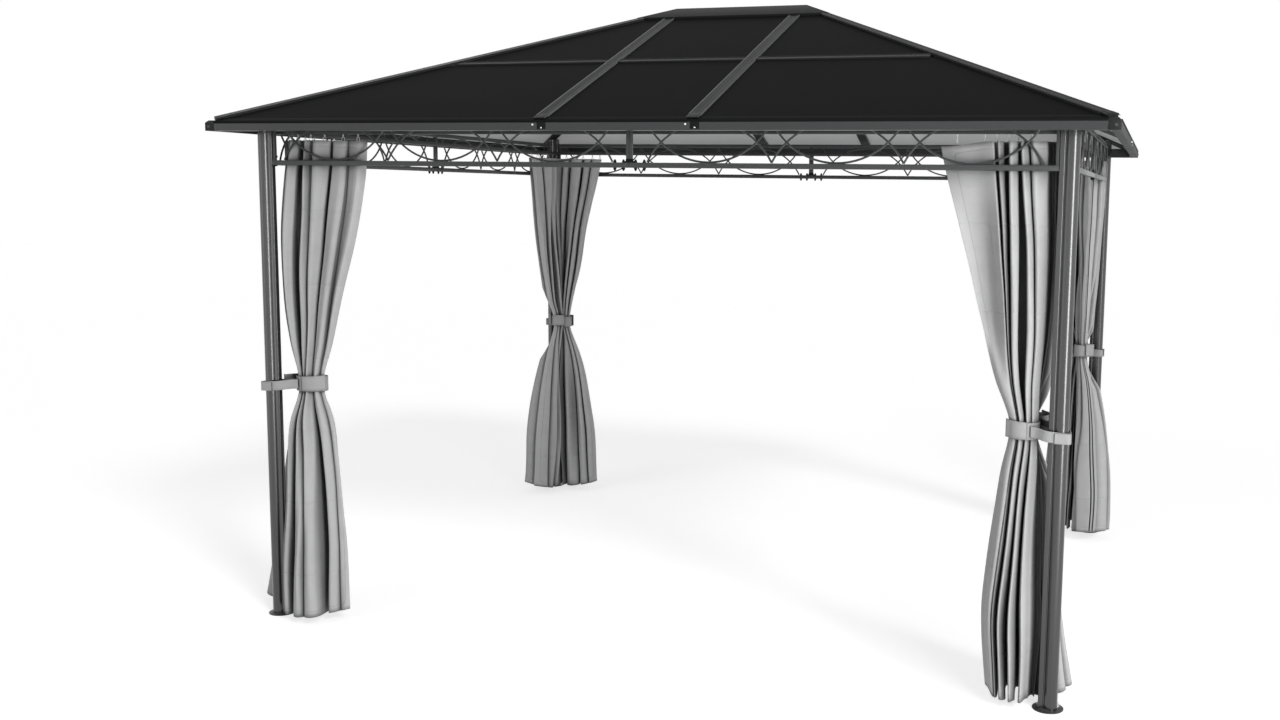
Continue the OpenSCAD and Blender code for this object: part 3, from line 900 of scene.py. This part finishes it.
def makeRafters(side):
    place = slopePlace(side)
    start = 0.012 / math.cos(pitch)
    stop = (halfW - roofSet["hub"] - 0.002) / math.cos(pitch)
    bm = bmesh.new()
    lines = (-rafterX, rafterX) if isLong(side) else (0,)
    for x in lines:
        low = (eaveSet["depth"] + 0.002) / math.cos(pitch)
        addOutline(bm, rafterOutline(), stop - low, place @ Matrix.Translation((x, low, 0)) @ alongY)
        # the cover's foot runs on over the eave beam
        foot, head = place @ Vector((x, start, 0.0045)), place @ Vector((x, low + 0.02, 0.0045))
        addBar(bm, foot, head, roofSet["rafter"], 0.003, up=place.to_3x3() @ upright, edge=0.0008)
    # sideways faces take a much lighter copy of the coat: a painted highlight along the lips
    sideways = place.to_3x3() @ Vector((1, 0, 0))
    bm.normal_update()
    for face in bm.faces:
        face.material_index = int(abs(face.normal.dot(sideways)) > 0.9)
    name = side + "_rafters" if len(lines) > 1 else side + "_rafter"
    settle(bm, side + "_capped_rafters", ["coatRoof", "coatPaintedHighlight"], [name], 30)


def hipX(along, s):  # where a hip bar's edge crosses a height s up the slope
    edge = (roofSet["hip"] / 2 + 0.002) / math.cos(roofSet["hipLean"]) * math.sqrt(1 + math.cos(pitch) ** 2)
    return along - math.cos(pitch) * s - edge


def makePurlins(side):
    place = slopePlace(side)
    s, width = slopeLength * roofSet["purlinAt"], roofSet["purlin"]
    beside = roofSet["rafter"] / 2 + 0.001
    inner = (rafterX if isLong(side) else 0) + beside
    outer = hipX(sideEave(side)[0], s + width / 2)
    runs = [(inner, outer), (-outer, -inner)]
    if isLong(side):
        runs.append((-rafterX + beside, rafterX - beside))
    bm = bmesh.new()
    tall, middle = roofSet["barUp"] + roofSet["barDown"], (roofSet["barUp"] - roofSet["barDown"]) / 2
    bead, beadZ = width / 2 - 0.002, roofSet["barUp"] + 0.0008  # glazing beads along both sides
    bars = [(s, middle, width, tall, 0.0012)]
    bars += [(s + way * bead, beadZ, 0.003, 0.0022, 0.0005) for way in (-1, 1)]
    for a, b in runs:
        for y, z, wide, high, edge in bars:
            ends = (place @ Vector((x, y, z)) for x in (a, b))
            addBar(bm, *ends, wide, high, up=place.to_3x3() @ upright, edge=edge)
    settle(bm, side + "_beaded_purlins", ["coatRoof"], [side + "_purlins"], 30)


def makeRidgeCap():
    reach, thick, lip = roofSet["capReach"], roofSet["capThick"], roofSet["capLip"]
    z0 = ridgeBox[1].z - 0.0006
    bm = bmesh.new()
    ridge = [bm.verts.new((s * ridgeHalf, 0, z0)) for s in (-1, 1)]
    rimX, rimZ = ridgeHalf + reach, z0 - reach * math.tan(pitch)
    rim = [bm.verts.new((sx * rimX, sy * reach, rimZ)) for sx, sy in ((-1, -1), (1, -1), (1, 1), (-1, 1))]
    bm.faces.new((ridge[0], rim[0], rim[1], ridge[1]))
    bm.faces.new((ridge[1], rim[1], rim[2]))
    bm.faces.new((ridge[0], ridge[1], rim[2], rim[3]))
    bm.faces.new((ridge[0], rim[3], rim[0]))
    outer = [e for e in bm.edges if e.is_boundary]
    made = bmesh.ops.extrude_edge_only(bm, edges=outer)
    down = [g for g in made["geom"] if isinstance(g, bmesh.types.BMVert)]
    bmesh.ops.translate(bm, verts=down, vec=(0, 0, -lip))
    bmesh.ops.recalc_face_normals(bm, faces=bm.faces[:])
    bmesh.ops.solidify(bm, geom=bm.faces[:], thickness=thick)
    bmesh.ops.recalc_face_normals(bm, faces=bm.faces[:])
    roundOff(bm, bm.verts[:], bm.edges[:], 0.0009)
    settle(bm, "folded_ridge_cap", ["coatDark"], ["ridge_cap"], 30)


def keepNode(node, look):
    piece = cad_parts[node]
    for place in piece.material_slots:
        place.material = finish[look]
    if not piece.material_slots:
        piece.data.materials.append(finish[look])


for side in sides:
    makeEave(side)
    makeRafters(side)
    makePurlins(side)
    keepNode(side + "_roof_sheets", "sheetAcrossX" if isLong(side) else "sheetAcrossY")
makeCornerCaps()
for name, sx, sy, place in corners():
    makeHip(name, sx, sy)
makeRidgeCap()
keepNode("ridge_beam", "coat")
print("roof made")


def makeTrack(side):  # a channel with a slot along its underside
    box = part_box(side + "_curtain_track")
    span = (box[1].x - box[0].x) / 2 if isLong(side) else (box[1].y - box[0].y) / 2
    y = -(sideLine(side) - layout["trackIn"])
    w = (layout["trackHigh"] - layout["trackLow"]) / 2
    r, wall, slot = 0.002, 0.003, 0.003
    c, room = w - r, w - wall
    outline = arc(c, c, r, 0, 90, 3) + arc(-c, c, r, 90, 180, 3) + arc(-c, -c, r, 180, 270, 3)
    outline += [(-slot, -w), (-slot, -c), (-room, -c), (-room, room)]
    outline += [(room, room), (room, -c), (slot, -c), (slot, -w)]
    outline += arc(c, -c, r, 270, 360, 3)
    bm = bmesh.new()
    middle = (layout["trackLow"] + layout["trackHigh"]) / 2
    addOutline(bm, outline, 2 * span, Matrix.Translation((-span, y, middle)) @ alongX)
    settle(bm, side + "_slotted_rail", ["coat"], [side + "_curtain_track"], 35, side=side)


for side in sides:
    makeTrack(side)
print("rails made")

# A wing is set out from its post's axis: u runs along the side, v inwards, z up.

curtainSet = {
    "top": 2.050,
    "hem": 0.024,
    "rows": 92,
    "thick": 0.0010,
    "waistHigh": 1.055,
    "waistLow": 0.985,
    "flatWidth": (1.45, 1.30),  # on the long sides, and on the short ones
    "wander": 0.005,  # how far the folds drift as they fall
}

# Folds are listed from the post to the free edge, as gap, face, gap, face and so on, each
# with its width at the top, half way up, at the waist, half way down and at the hem.
foldAt = (2.05, 1.40, 1.02, 0.60, 0.024)
plainFolds = (
    (10, 8, 2, 10, 10), (40, 26, 14, 34, 44),
    (16, 12, 2, 12, 12), (34, 22, 12, 20, 30),
    (8, 16, 3, 3, 0), (42, 30, 20, 44, 56),
    (14, 8, 2, 16, 16), (50, 30, 18, 30, 40),
    (12, 12, 3, 4, 2), (46, 34, 16, 34, 44),
    (20, 6, 2, 14, 16), (60, 40, 20, 40, 52),
)
# Each wing: where its edges by the post and at the free side fall, from the top down, its
# waist and its hem (middle and half size along u and v), its spread from the one to the other,
# its folds, and how each face lies: depth at both its edges, at the top and at the hem, as
# shares of the bundle's depth. deepTop is that depth at the top, raised lifts the waist, and
# inside turns the folds' faces to the room.
wings = {
    ("front", "left"): {
        "free": (0.462, 0.448, 0.392, 0.322, 0.266),
        "post": (0.080, 0.050, 0.022, 0.026, 0.052),
        "waist": (0.150, 0.050, 0.066, 0.047),
        "hem": (0.198, -0.012, 0.158, 0.112),
        "spread": (0.42, 0.60, 0.74, 0.90, 1.0),
        "folds": (
            (4, 2, 0, 3, 2), (20, 26, 14, 28, 30),
            (5, 5, 2, 0, 0), (42, 32, 18, 28, 28),
            (24, 34, 5, 26, 24), (28, 32, 20, 42, 58),
            (11, 13, 3, 0, 0), (78, 38, 20, 42, 58),
            (13, 10, 4, 28, 12), (64, 52, 22, 34, 40),
            (0, 0, 0, 0, 0), (72, 42, 14, 26, 40),
        ),
        "lies": (
            (0.62, 0.12, 0.2, 0.0), (0.0, 0.1, 0.0, 0.06), (0.1, 0.2, 0.0, 0.02), (0.0, 0.12, 0.02, 0.0),
            (0.08, 0.0, 0.30, 0.34), (0.20, 0.0, 0.4, 0.4),
        ),
        "seed": 3,
    },
    ("front", "right"): {
        "free": (0.460, 0.424, 0.358, 0.292, 0.236),
        "post": (0.050, 0.048, 0.046, 0.052, 0.070),
        "waist": (0.127, 0.045, 0.052, 0.046),
        "hem": (0.146, 0.012, 0.106, 0.100),
        "spread": (0.36, 0.64, 0.90, 1.06, 0.72),
        "folds": (
            (27, 12, 2, 34, 30), (54, 34, 22, 40, 42),
            (4, 3, 2, 15, 15), (25, 27, 18, 28, 30),
            (7, 30, 6, 10, 12), (29, 27, 18, 28, 30),
            (17, 6, 2, 9, 10), (21, 9, 6, 14, 10),
            (7, 2, 1, 0, 0), (175, 91, 32, 64, 50),
        ),
        "lies": (
            (0.30, 0.02, 0.3, 0.0), (0.12, 0.02, 0.1, 0.0), (0.08, 0.0, 0.1, 0.0), (0.2, 0.14, 0.1, 0.0),
            (0.0, 0.0, 0.0, 0.62),
        ),
        "deepTop": (-0.010, 0.098),
        "flat": True,
        "droop": 0.018,
        "seed": 11,
    },
    ("right", "front"): {
        "waist": (0.132, 0.092, 0.042, 0.042),
        "hem": (0.142, 0.015, 0.096, 0.095),
        "spread": (0.20, 0.34, 0.46, 0.66, 1.0),
        "inside": True,
        "seed": 17,
    },
    ("right", "back"): {
        "waist": (0.127, 0.058, 0.050, 0.046),
        "hem": (0.160, -0.022, 0.112, 0.108),
        "deepTop": (-0.026, 0.096),
        "turned": True,
        "inside": True,
        "seed": 23,
    },
    ("back", "right"): {
        "waist": (0.112, 0.050, 0.044, 0.042),
        "hem": (0.150, 0.020, 0.100, 0.090),
        "inside": True,
        "seed": 29,
    },
    ("back", "left"): {
        "post": (0.045, 0.045, 0.045, 0.045, 0.050),
        "free": (0.350, 0.316, 0.248, 0.204, 0.160),
        "waist": (0.100, 0.050, 0.040, 0.044),
        "hem": (0.176, 0.020, 0.130, 0.108),
        "deepTop": (-0.018, 0.104),
        "raised": 0.035,
        "folds": (
            (6, 6, 2, 4, 6), (60, 40, 20, 18, 22),
            (12, 10, 3, 16, 14), (50, 36, 20, 16, 20),
            (18, 14, 2, 18, 12), (90, 60, 26, 66, 70),
            (12, 10, 2, 8, 5), (60, 40, 18, 34, 40),
            (10, 6, 2, 4, 3), (60, 34, 18, 30, 36),
        ),
        "inside": True,
        "seed": 31,
    },
    ("left", "back"): {
        "post": (0.045, 0.045, 0.045, 0.045, 0.055),
        "free": (0.365, 0.340, 0.310, 0.275, 0.230),
        "waist": (0.120, 0.080, 0.042, 0.042),
        "hem": (0.170, -0.004, 0.124, 0.116),
        "deepTop": (-0.012, 0.094),
        "raised": 0.035,
        "folds": (
            (8, 6, 2, 5, 6), (70, 44, 20, 44, 52),
            (18, 14, 3, 14, 12), (60, 40, 20, 26, 30),
            (10, 8, 2, 6, 6), (70, 44, 20, 40, 46),
            (20, 10, 2, 14, 12), (90, 50, 22, 44, 50),
        ),
        "inside": True,
        "seed": 37,
    },
    ("left", "front"): {
        "waist": (0.132, 0.096, 0.042, 0.040),
        "hem": (0.136, -0.046, 0.096, 0.132),
        "spread": (0.26, 0.42, 0.56, 0.76, 1.0),
        "inside": True,
        "seed": 41,
    },
}
dropAt = (2.050, 1.90, 1.65, 1.40, 1.20)
postEdge = (0.080, 0.078, 0.074, 0.072, 0.074)
plainFree = (0.455, 0.440, 0.375, 0.305, 0.238)
# a stretch left flat by the free edge: its lip, the part turned away, then the flat
flatFace = ((0.0, 0.14), (0.012, 0.0), (0.035, 0.0), (0.36, 0.60), (0.72, 0.60), (1.0, 0.52))
# a free edge that hangs across the others: how far short of it, and how deep
turnedEdge = (
    (0, 0.34), (0.03, 0.36), (0.034, 0.44), (0.002, 0.46),
    (0, 0.66), (0.028, 0.68), (0.032, 0.74), (0.004, 0.77), (0, 0.98),
)
pleatSet = {"reach": 0.50, "open": 7.0, "lift": 0.09}  # how far a pleat turns in behind its neighbours


def smoothStep(x):
    x = min(1, max(0, x))
    return x * x * (3 - 2 * x)


def blend(a, b, t):
    return a + (b - a) * t


def cutCorners(points):  # rounds a line by cutting its corners twice
    for _ in range(2):
        cut = [points[0]]
        for a, b in zip(points, points[1:]):
            for share in (0.25, 0.75):
                cut.append(tuple(blend(p, q, share) for p, q in zip(a, b)))
        points = cut + [points[-1]]
    return points


dropShares = (0, 0.06, 0.25, 0.55, 0.82)  # how far towards the waist's depth at each drop
dropSquares = (14, 12, 10, 6, 3.4)
spreadAt = (0.86, 0.70, 0.50, 0.30, curtainSet["hem"])
plainSpread = (0.36, 0.60, 0.80, 0.94, 1.0)


def wingLevels(wing):  # (z, u from, u to, v from, v to, squareness) from the top down
    wu, wv, wa, wb = wing["waist"]
    outer, inner = wing.get("deepTop", (-0.006, 0.084))
    levels = []
    edges = wing.get("post", postEdge), wing.get("free", plainFree)
    for z, u0, u1, share, square in zip(dropAt, *edges, dropShares, dropSquares):
        levels.append((z, u0, u1, blend(outer, wv - wb, share), blend(inner, wv + wb, share), square))
    for z in (curtainSet["waistHigh"], curtainSet["waistLow"]):
        levels.append((z + wing.get("raised", 0), wu - wa, wu + wa, wv - wb, wv + wb, 2.0))
    for z, share in zip(spreadAt, wing.get("spread", plainSpread)):
        u, v, a, b = (blend(p, q, share) for p, q in zip(wing["waist"], wing["hem"]))
        levels.append((z, u - a, u + a, v - b, v + b, 2.2))
    return levels


def through(heights, rows, z):  # a smooth curve through rows set at falling heights
    n = next((i for i, low in enumerate(heights[1:]) if z >= low), len(heights) - 2)
    t = min(1, max(0, (heights[n] - z) / (heights[n] - heights[n + 1])))
    span = heights[n] - heights[n + 1]
    found = []
    for k in range(len(rows[0])):
        slopes = []
        for i in (n, n + 1):
            a, b = max(0, i - 1), min(len(rows) - 1, i + 1)
            slopes.append((rows[b][k] - rows[a][k]) / (heights[a] - heights[b]) * span)
        p, q = rows[n][k], rows[n + 1][k]
        cubic = 2 * t ** 3 - 3 * t ** 2
        bend = slopes[0] * (t ** 3 - 2 * t ** 2 + t) + slopes[1] * (t ** 3 - t ** 2)
        found.append(p * (cubic + 1) - q * cubic + bend)
    return found


def pleatRow(wing, levels, z):  # the cloth's line at one height
    u0, u1, v0, v1, square = through([v[0] for v in levels], [v[1:] for v in levels], z)
    table = wing.get("folds", plainFolds)
    measures = [max(0.0, w) for w in through(foldAt, list(zip(*table)), z)]
    loose = smoothStep((2.0 - z) / 0.3) * (1 - 0.7 * smoothStep(1 - abs(z - foldAt[2]) / 0.25))
    for i in range(len(measures)):
        measures[i] *= 1 + 0.22 * loose * noise.noise((wing["seed"] * 3.7 + i * 5.1, z * 2.3, 0.3))
    scale = (u1 - u0) / sum(measures)
    middle, half = (u0 + u1) / 2, (u1 - u0) / 2
    low = smoothStep((1.0 - z) / 0.5)
    points = []
    at, before, lastDepth = u0, 0, 0.6
    count = len(measures) // 2
    for i in range(count):
        gap, face = measures[2 * i] * scale, measures[2 * i + 1] * scale
        key = wing["seed"] * 1.3 + i * 2.9
        lie = wing["lies"][i] if "lies" in wing else (0.1, 0.1, 0.05, 0.05)
        sway = 0.10 * noise.noise((key, z * 1.8, 4.0))
        first, last = blend(lie[0], lie[2], low) + sway, blend(lie[1], lie[3], low) - sway
        if "lies" not in wing:
            first += 0.34 * noise.noise((key, z * 1.2, 14.0)) + 0.08
            last += 0.34 * noise.noise((key, z * 1.2, 19.0)) + 0.08
        back = 0.97 - 0.14 * abs(noise.noise((key, z * 1.7, 9.0)))
        tight = smoothStep(1 - abs(z - foldAt[2]) / 0.1)
        opened = min(1, measures[2 * i] / pleatSet["open"]) * (1 - 0.35 * tight)
        reach = pleatSet["reach"] * opened
        if i == 0:
            points.append((at, 0.80))
            points += [(at + gap * a, blend(first, back, d)) for a, d in ((0.5, 0.9), (0.95, 0.5))]
        else:
            for a, d in ((-0.55, 0.40), (-1, 0.85), (-0.6, 1.0)):
                points.append((at + a * reach * before, blend(lastDepth, back, d * opened)))
            for a, d in ((0.6, 1.0), (1.0, 0.85), (0.55, 0.40)):
                points.append((at + gap + a * reach * face, blend(first, back, d * opened)))
        at += gap
        if wing.get("flat") and i == count - 1:
            even = smoothStep((z - 1.15) / 0.3)
            early = 0.42 + 0.58 * smoothStep((1.98 - z) / 0.25)
            ended = blend(last, first, 0.5)
            plain = ((0.0, first + 0.10), (0.04, first + 0.03), (0.10, first))
            plain += ((0.36, first - 0.02), (0.72, ended), (1.0, last))
            for (a, d), (c, e) in zip(flatFace, plain):
                turned = a * (1.0 + 0.5 * smoothStep((1.7 - z) / 0.4)) if a == 0.36 else a
                points.append((at + blend(c, turned, even) * face, blend(e, 0.1 + (d - 0.1) * early, even)))
        else:
            lift = pleatSet["lift"]
            rounded = ((0.0, lift), (0.07, 0.02), (0.30, -lift * 0.3))
            points += [(at + a * face, first + d) for a, d in rounded]
            points += [(at + (1 - a) * face, last + d) for a, d in rounded[::-1]]
        at += face
        before, lastDepth = face, last + pleatSet["lift"]
    if wing.get("turned"):  # the free edge hangs turned across the others
        points += [(u1 - a, d) for a, d in turnedEdge]
    line = []
    for u, d in points:
        u = min(u1, max(u0, u))
        side = max(-1, min(1, (u - middle) / half))
        round_ = max(0.16, (1 - abs(side) ** square) ** (1 / square))
        d = 1 - d if wing.get("inside") else d
        line.append((u, (v0 + v1) / 2 + (d - 0.5) * (v1 - v0) * round_))
    return line


def wingPlace(side, half):
    sign = -1 if halfNames[side][0] == half else 1
    span, line = sideSpan(side), sideLine(side)
    turn = sideTurn(side)
    return lambda u, v, z: turn @ Vector((sign * (span - u), -line + v, z))


def makeWing(side, half):
    wing = wings[(side, half)]
    levels = wingLevels(wing)
    place = wingPlace(side, half)
    rows = []
    top, hem = curtainSet["top"], curtainSet["hem"]
    for j in range(curtainSet["rows"]):
        z = blend(top, hem, j / (curtainSet["rows"] - 1))
        line = cutCorners(pleatRow(wing, levels, z))
        pin = smoothStep((top - z) / 0.25)
        row = []
        for u, v in line:
            drift = Vector((u * 9 + wing["seed"], v * 9, z * 3.2))
            u += curtainSet["wander"] * pin * noise.noise(drift)
            v += curtainSet["wander"] * 1.3 * pin * noise.noise(drift + Vector((7.7, 3.1, 1.9)))
            row.append((u, v, z))
        rows.append(row)
    columns = len(rows[0])
    # cloth that swings out further hangs a little less low
    pairs = list(zip(rows, rows[1:]))
    paths = [sum((Vector(a[c]) - Vector(b[c])).length for a, b in pairs) for c in range(columns)]
    least = min(paths)
    # the cloth's own measure across, from the mean of the rows
    across = [0.0]
    for c in range(1, columns):
        across.append(across[-1] + sum((Vector(r[c]) - Vector(r[c - 1])).length for r in rows) / len(rows))
    bm = bmesh.new()
    bmesh.ops.create_grid(bm, x_segments=columns - 1, y_segments=len(rows) - 1, size=1)
    uvLayer = bm.loops.layers.uv.new("flat")
    edgeLayer = bm.verts.layers.float.new("edge")
    flats = {}
    for vert in bm.verts:
        c = round((vert.co.x + 1) / 2 * (columns - 1))
        r = round((1 - vert.co.y) / 2 * (len(rows) - 1))
        u, v, z = rows[r][c]
        down = top - z
        z += (paths[c] - least) * 0.7 * smoothStep((0.9 - z) / 0.8)
        free = smoothStep((u - 0.25) / 0.2)
        z -= wing.get("droop", 0.004) * free * smoothStep((z - 1.75) / 0.3)
        vert.co = place(u, v, z)
        flats[vert] = (across[c], down)
        vert[edgeLayer] = min(across[c], across[-1] - across[c], down, (top - hem) - down)
    for face in bm.faces:
        for loop in face.loops:
            loop[uvLayer].uv = flats[loop.vert]
    piece = settle(
        bm, f"{side}_{half}_tied_curtain", ["cloth"], [f"{side}_{half}_curtain"], 60
    )
    thick = piece.modifiers.new("cloth", "SOLIDIFY")
    thick.thickness = curtainSet["thick"]
    thick.offset = 0
    return piece, across[-1]


tieSet = {
    "z": (1.020, 1.034),  # on the long sides, and on the short ones
    "height": 0.062,
    "strap": 0.040,
    "clear": 0.0035,  # of the bundle, and of the post
    "thick": 0.0022,
    "fall": 0.012,  # the strap's end lies lower than the band
}


def addStrip(bm, line, closed, place, uvLayer, edgeLayer):  # line of (u, v, low, high)
    if closed:
        line = line + [line[0]]
    made = bmesh.ops.create_grid(bm, x_segments=len(line) - 1, y_segments=6, size=1)
    steps = [0.0]
    for a, b in zip(line, line[1:]):
        steps.append(steps[-1] + math.hypot(a[0] - b[0], a[1] - b[1]))
    flats = {}
    for vert in made["verts"]:
        c = round((vert.co.x + 1) / 2 * (len(line) - 1))
        r = (vert.co.y + 1) / 2
        u, v, low, high = line[c]
        flats[vert] = (steps[c], r * (high - low))
        vert.co = place(u, v, blend(low, high, r))
        vert[edgeLayer] = min(r, 1 - r) * (high - low) * (clothSet["hem"] / 0.007)
    for face in facesOf(made["verts"]):
        for loop in face.loops:
            loop[uvLayer].uv = flats[loop.vert]


def makeTie(side, half):
    wing = wings[(side, half)]
    place = wingPlace(side, half)
    wu, wv, wa, wb = wing["waist"]
    z = tieSet["z"][0 if isLong(side) else 1] + wing.get("raised", 0)
    gap, post = tieSet["clear"], layout["postWidth"] / 2
    wa, wb = wa + gap, wb + gap
    band = tieSet["height"] / 2

    def ring(start, end, steps, grow=0.0):
        found = []
        for i in range(steps + 1):
            a = math.radians(blend(start, end, i / steps))
            found.append((wu + (wa + grow) * math.cos(a), wv + (wb + grow) * math.sin(a), z - band, z + band))
        return found

    bm = bmesh.new()
    layers = bm.loops.layers.uv.new("flat"), bm.verts.layers.float.new("edge")
    addStrip(bm, ring(-180, 168, 48), True, place, *layers)
    # the band's loose end, lapped over its outside, with one corner standing off
    lap = ring(-104, -12, 14, 0.0026)
    for n, (u, v, lo, hi) in enumerate(lap):
        u, v = u + 0.007 * smoothStep((n - 11) / 3), v - 0.004 * smoothStep((n - 10) / 4)
        lap[n] = (u, v, lo + 0.003, hi + 0.002 + 0.006 * n / 14)
    addStrip(bm, lap, False, place, *layers)
    out, fall = post + gap, tieSet["fall"]
    if not isLong(side):  # hooked to the post's inner rib
        strap = [(wu - wa * 0.55, wv - wb * 0.86, 0), (wu - wa * 1.02, wv - wb * 0.40, 0)]
        hooked = ((0.010, 0.52, 0.2), (0.003, 0.46, 0.3), (0.003, 0.34, 0.3), (0.010, 0.30, 0.2))
        strap += [(out + u, out * v, f) for u, v, f in hooked]
    else:
        strap = [(wu - wa * 0.50, wv - wb - 0.001, 0), (wu - wa * 0.92, min(wv - wb * 0.86, -0.010), 0.1)]
        strap += [(out + 0.004, -out, 0.6), (0, -out, 0.8)]
        strap += [(-out, -out, 1), (-out, 0, 1), (-out, out, 0.9), (0, out, 0.8), (out, out, 0.7)]
        strap += [(wu - wa * 0.98, wv + wb * 0.30, 0.2), (wu - wa * 0.72, wv + wb * 0.78, 0.1)]
    high = tieSet["strap"] / 2
    strap = [(u, v, z - high - fall * f, z + high - fall * f) for u, v, f in strap]
    addStrip(bm, cutCorners(strap), False, place, *layers)
    if isLong(side):  # its sewn end, folded back on itself
        end = [(0.012, -out - 0.0040), (-out * 0.6, -out - 0.0045), (-out - 0.005, -out - 0.004)]
        end += [(-out - 0.006, -out * 0.4), (-out - 0.004, 0.010)]
        end = [(u, v, z - high - fall + 0.001, z + high - fall - 0.001) for u, v in end]
        addStrip(bm, cutCorners(end), False, place, *layers)
    bmesh.ops.remove_doubles(bm, verts=bm.verts[:], dist=0.00002)
    piece = settle(bm, f"{side}_{half}_tieback", ["clothTieShaded"], [side + "_curtain_ties"], 60)
    thick = piece.modifiers.new("cloth", "SOLIDIFY")
    thick.thickness = tieSet["thick"]
    thick.offset = 0
    return piece


hookSet = {
    "wire": 0.0013,
    "ring": 0.0100,
    "drop": 0.011,  # from the rail to the ring's top
    "stem": ((0.006, -0.012, 0.0018, 8, None, 0), (-0.002, -0.005, 0.0036, 10, None, 0)),
}


def makeHooks():
    bm = bmesh.new()
    for (side, half), wing in wings.items():
        place = wingPlace(side, half)
        folds = [row[0] for row in wing.get("folds", plainFolds)]
        width = (wing.get("free", plainFree)[0] - postEdge[0]) / sum(folds)
        at = postEdge[0]
        ends = []
        for n, fold in enumerate(folds):
            if n % 2 and fold > 90:
                ends += [at + fold * width * 0.12, at + fold * width * 0.66]
            elif n % 2:
                ends.append(at + fold * width * 0.5)
            at += fold * width
        v, top = layout["trackIn"], layout["trackLow"]
        for u in ends:
            addStack(bm, place(u, v, top), upright, hookSet["stem"])
            middle = place(u, v, top - hookSet["drop"] - hookSet["ring"])
            along = (place(u + 1, v, middle.z) - middle).normalized()
            inward = (place(u, v + 1, middle.z) - middle).to_track_quat("Z", "Y").to_matrix().to_4x4()
            start = Matrix.Translation(middle + upright * hookSet["ring"]) @ inward
            made = bmesh.ops.create_circle(
                bm, cap_ends=False, radius=hookSet["wire"], segments=6, matrix=start
            )
            geom = made["verts"] + edgesOf(made["verts"])
            bmesh.ops.spin(
                bm, geom=geom, cent=middle, axis=along, dvec=(0, 0, 0), angle=2 * math.pi, steps=14,
                use_merge=True,
            )
    bmesh.ops.recalc_face_normals(bm, faces=bm.faces[:])
    settle(bm, "curtain_hooks", ["hook"], smooth=50)


for side, half in wings:
    curtain, clothWidth = makeWing(side, half)
    tie = makeTie(side, half)
    print(f"{side} {half} curtain, {clothWidth:.2f} m along its folds")
makeHooks()
print("curtains made")


lightSet = {
    "ambient": 0.22,  # what the world gives to everything but mirrors and the camera
    "suns": {  # strength, where from, and how many degrees across
        "key": (0.28, (-0.42, -0.72, 0.52), 30),
        "side": (1.15, (0.78, -0.62, 0.66), 12),
    },
    "panels": {  # power, place, aim and size
        "front_panel": (172, (4.1, -4.9, 1.6), (1.60, -1.33, 1.1), (1.3, 3.2)),
        "left_panel": (12, (-4.6, -4.6, 1.6), (-1.65, -1.33, 1.1), (0.7, 3.2)),
    },
    "floorSeen": 0.34,  # how much of the floor's look is its own glow
    "floorGlow": 2.07,
}


def seenRays(tree):  # camera, mirror and see-through rays
    path = tree.nodes.new("ShaderNodeLightPath")
    seen = mathNode(tree, "MAXIMUM", path.outputs["Is Camera Ray"], path.outputs["Is Glossy Ray"])
    return mathNode(tree, "MAXIMUM", seen, path.outputs["Is Transmission Ray"])


def makeStage():
    bm = bmesh.new()
    bmesh.ops.create_circle(bm, cap_ends=True, radius=40, segments=64)
    mesh = bpy.data.meshes.new("floor")
    bm.to_mesh(mesh)
    bm.free()
    material, tree, shader = newMaterial(
        "pale_floor", Base_Color=(0.90, 0.90, 0.90, 1), Roughness=0.9, Specular_IOR_Level=0.1
    )
    shine = tree.nodes.new("ShaderNodeEmission")
    shine.inputs["Strength"].default_value = lightSet["floorGlow"]
    mix = tree.nodes.new("ShaderNodeMixShader")
    tree.links.new(mathNode(tree, "MULTIPLY", seenRays(tree), lightSet["floorSeen"]), mix.inputs[0])
    tree.links.new(shader.outputs[0], mix.inputs[1])
    tree.links.new(shine.outputs[0], mix.inputs[2])
    tree.links.new(mix.outputs[0], tree.nodes["Material Output"].inputs["Surface"])
    mesh.materials.append(material)
    floor = bpy.data.objects.new("floor", mesh)
    bpy.context.scene.collection.objects.link(floor)
    world = bpy.data.worlds.new("studio")
    bpy.context.scene.world = world
    world.use_nodes = True
    tree = world.node_tree
    ambient = lightSet["ambient"]
    strength = mathNode(tree, "MULTIPLY_ADD", seenRays(tree), 1 - ambient, ambient)
    tree.nodes["Background"].inputs["Color"].default_value = (1, 1, 1, 1)
    tree.links.new(strength, tree.nodes["Background"].inputs["Strength"])


def makePanel(name, power, place, aim, size):
    data = bpy.data.lights.new(name, "AREA")
    data.shape = "RECTANGLE"
    data.size, data.size_y = size
    data.energy = power
    lamp = bpy.data.objects.new(name, data)
    lamp.visible_camera = False
    turn = (Vector(aim) - Vector(place)).to_track_quat("-Z", "Y").to_matrix().to_4x4()
    lamp.matrix_world = Matrix.Translation(place) @ turn
    bpy.context.scene.collection.objects.link(lamp)


def makeSun(name, strength, source, soft):
    data = bpy.data.lights.new(name, "SUN")
    data.energy = strength
    data.angle = math.radians(soft)
    sun = bpy.data.objects.new(name, data)
    sun.matrix_world = Vector(source).to_track_quat("Z", "Y").to_matrix().to_4x4()
    bpy.context.scene.collection.objects.link(sun)


makeStage()
for name, (strength, source, soft) in lightSet["suns"].items():
    makeSun(name, strength, source, soft)
for name, values in lightSet["panels"].items():
    makePanel(name, *values)

bpy.context.scene.view_settings.view_transform = "Standard"
print("stage set")
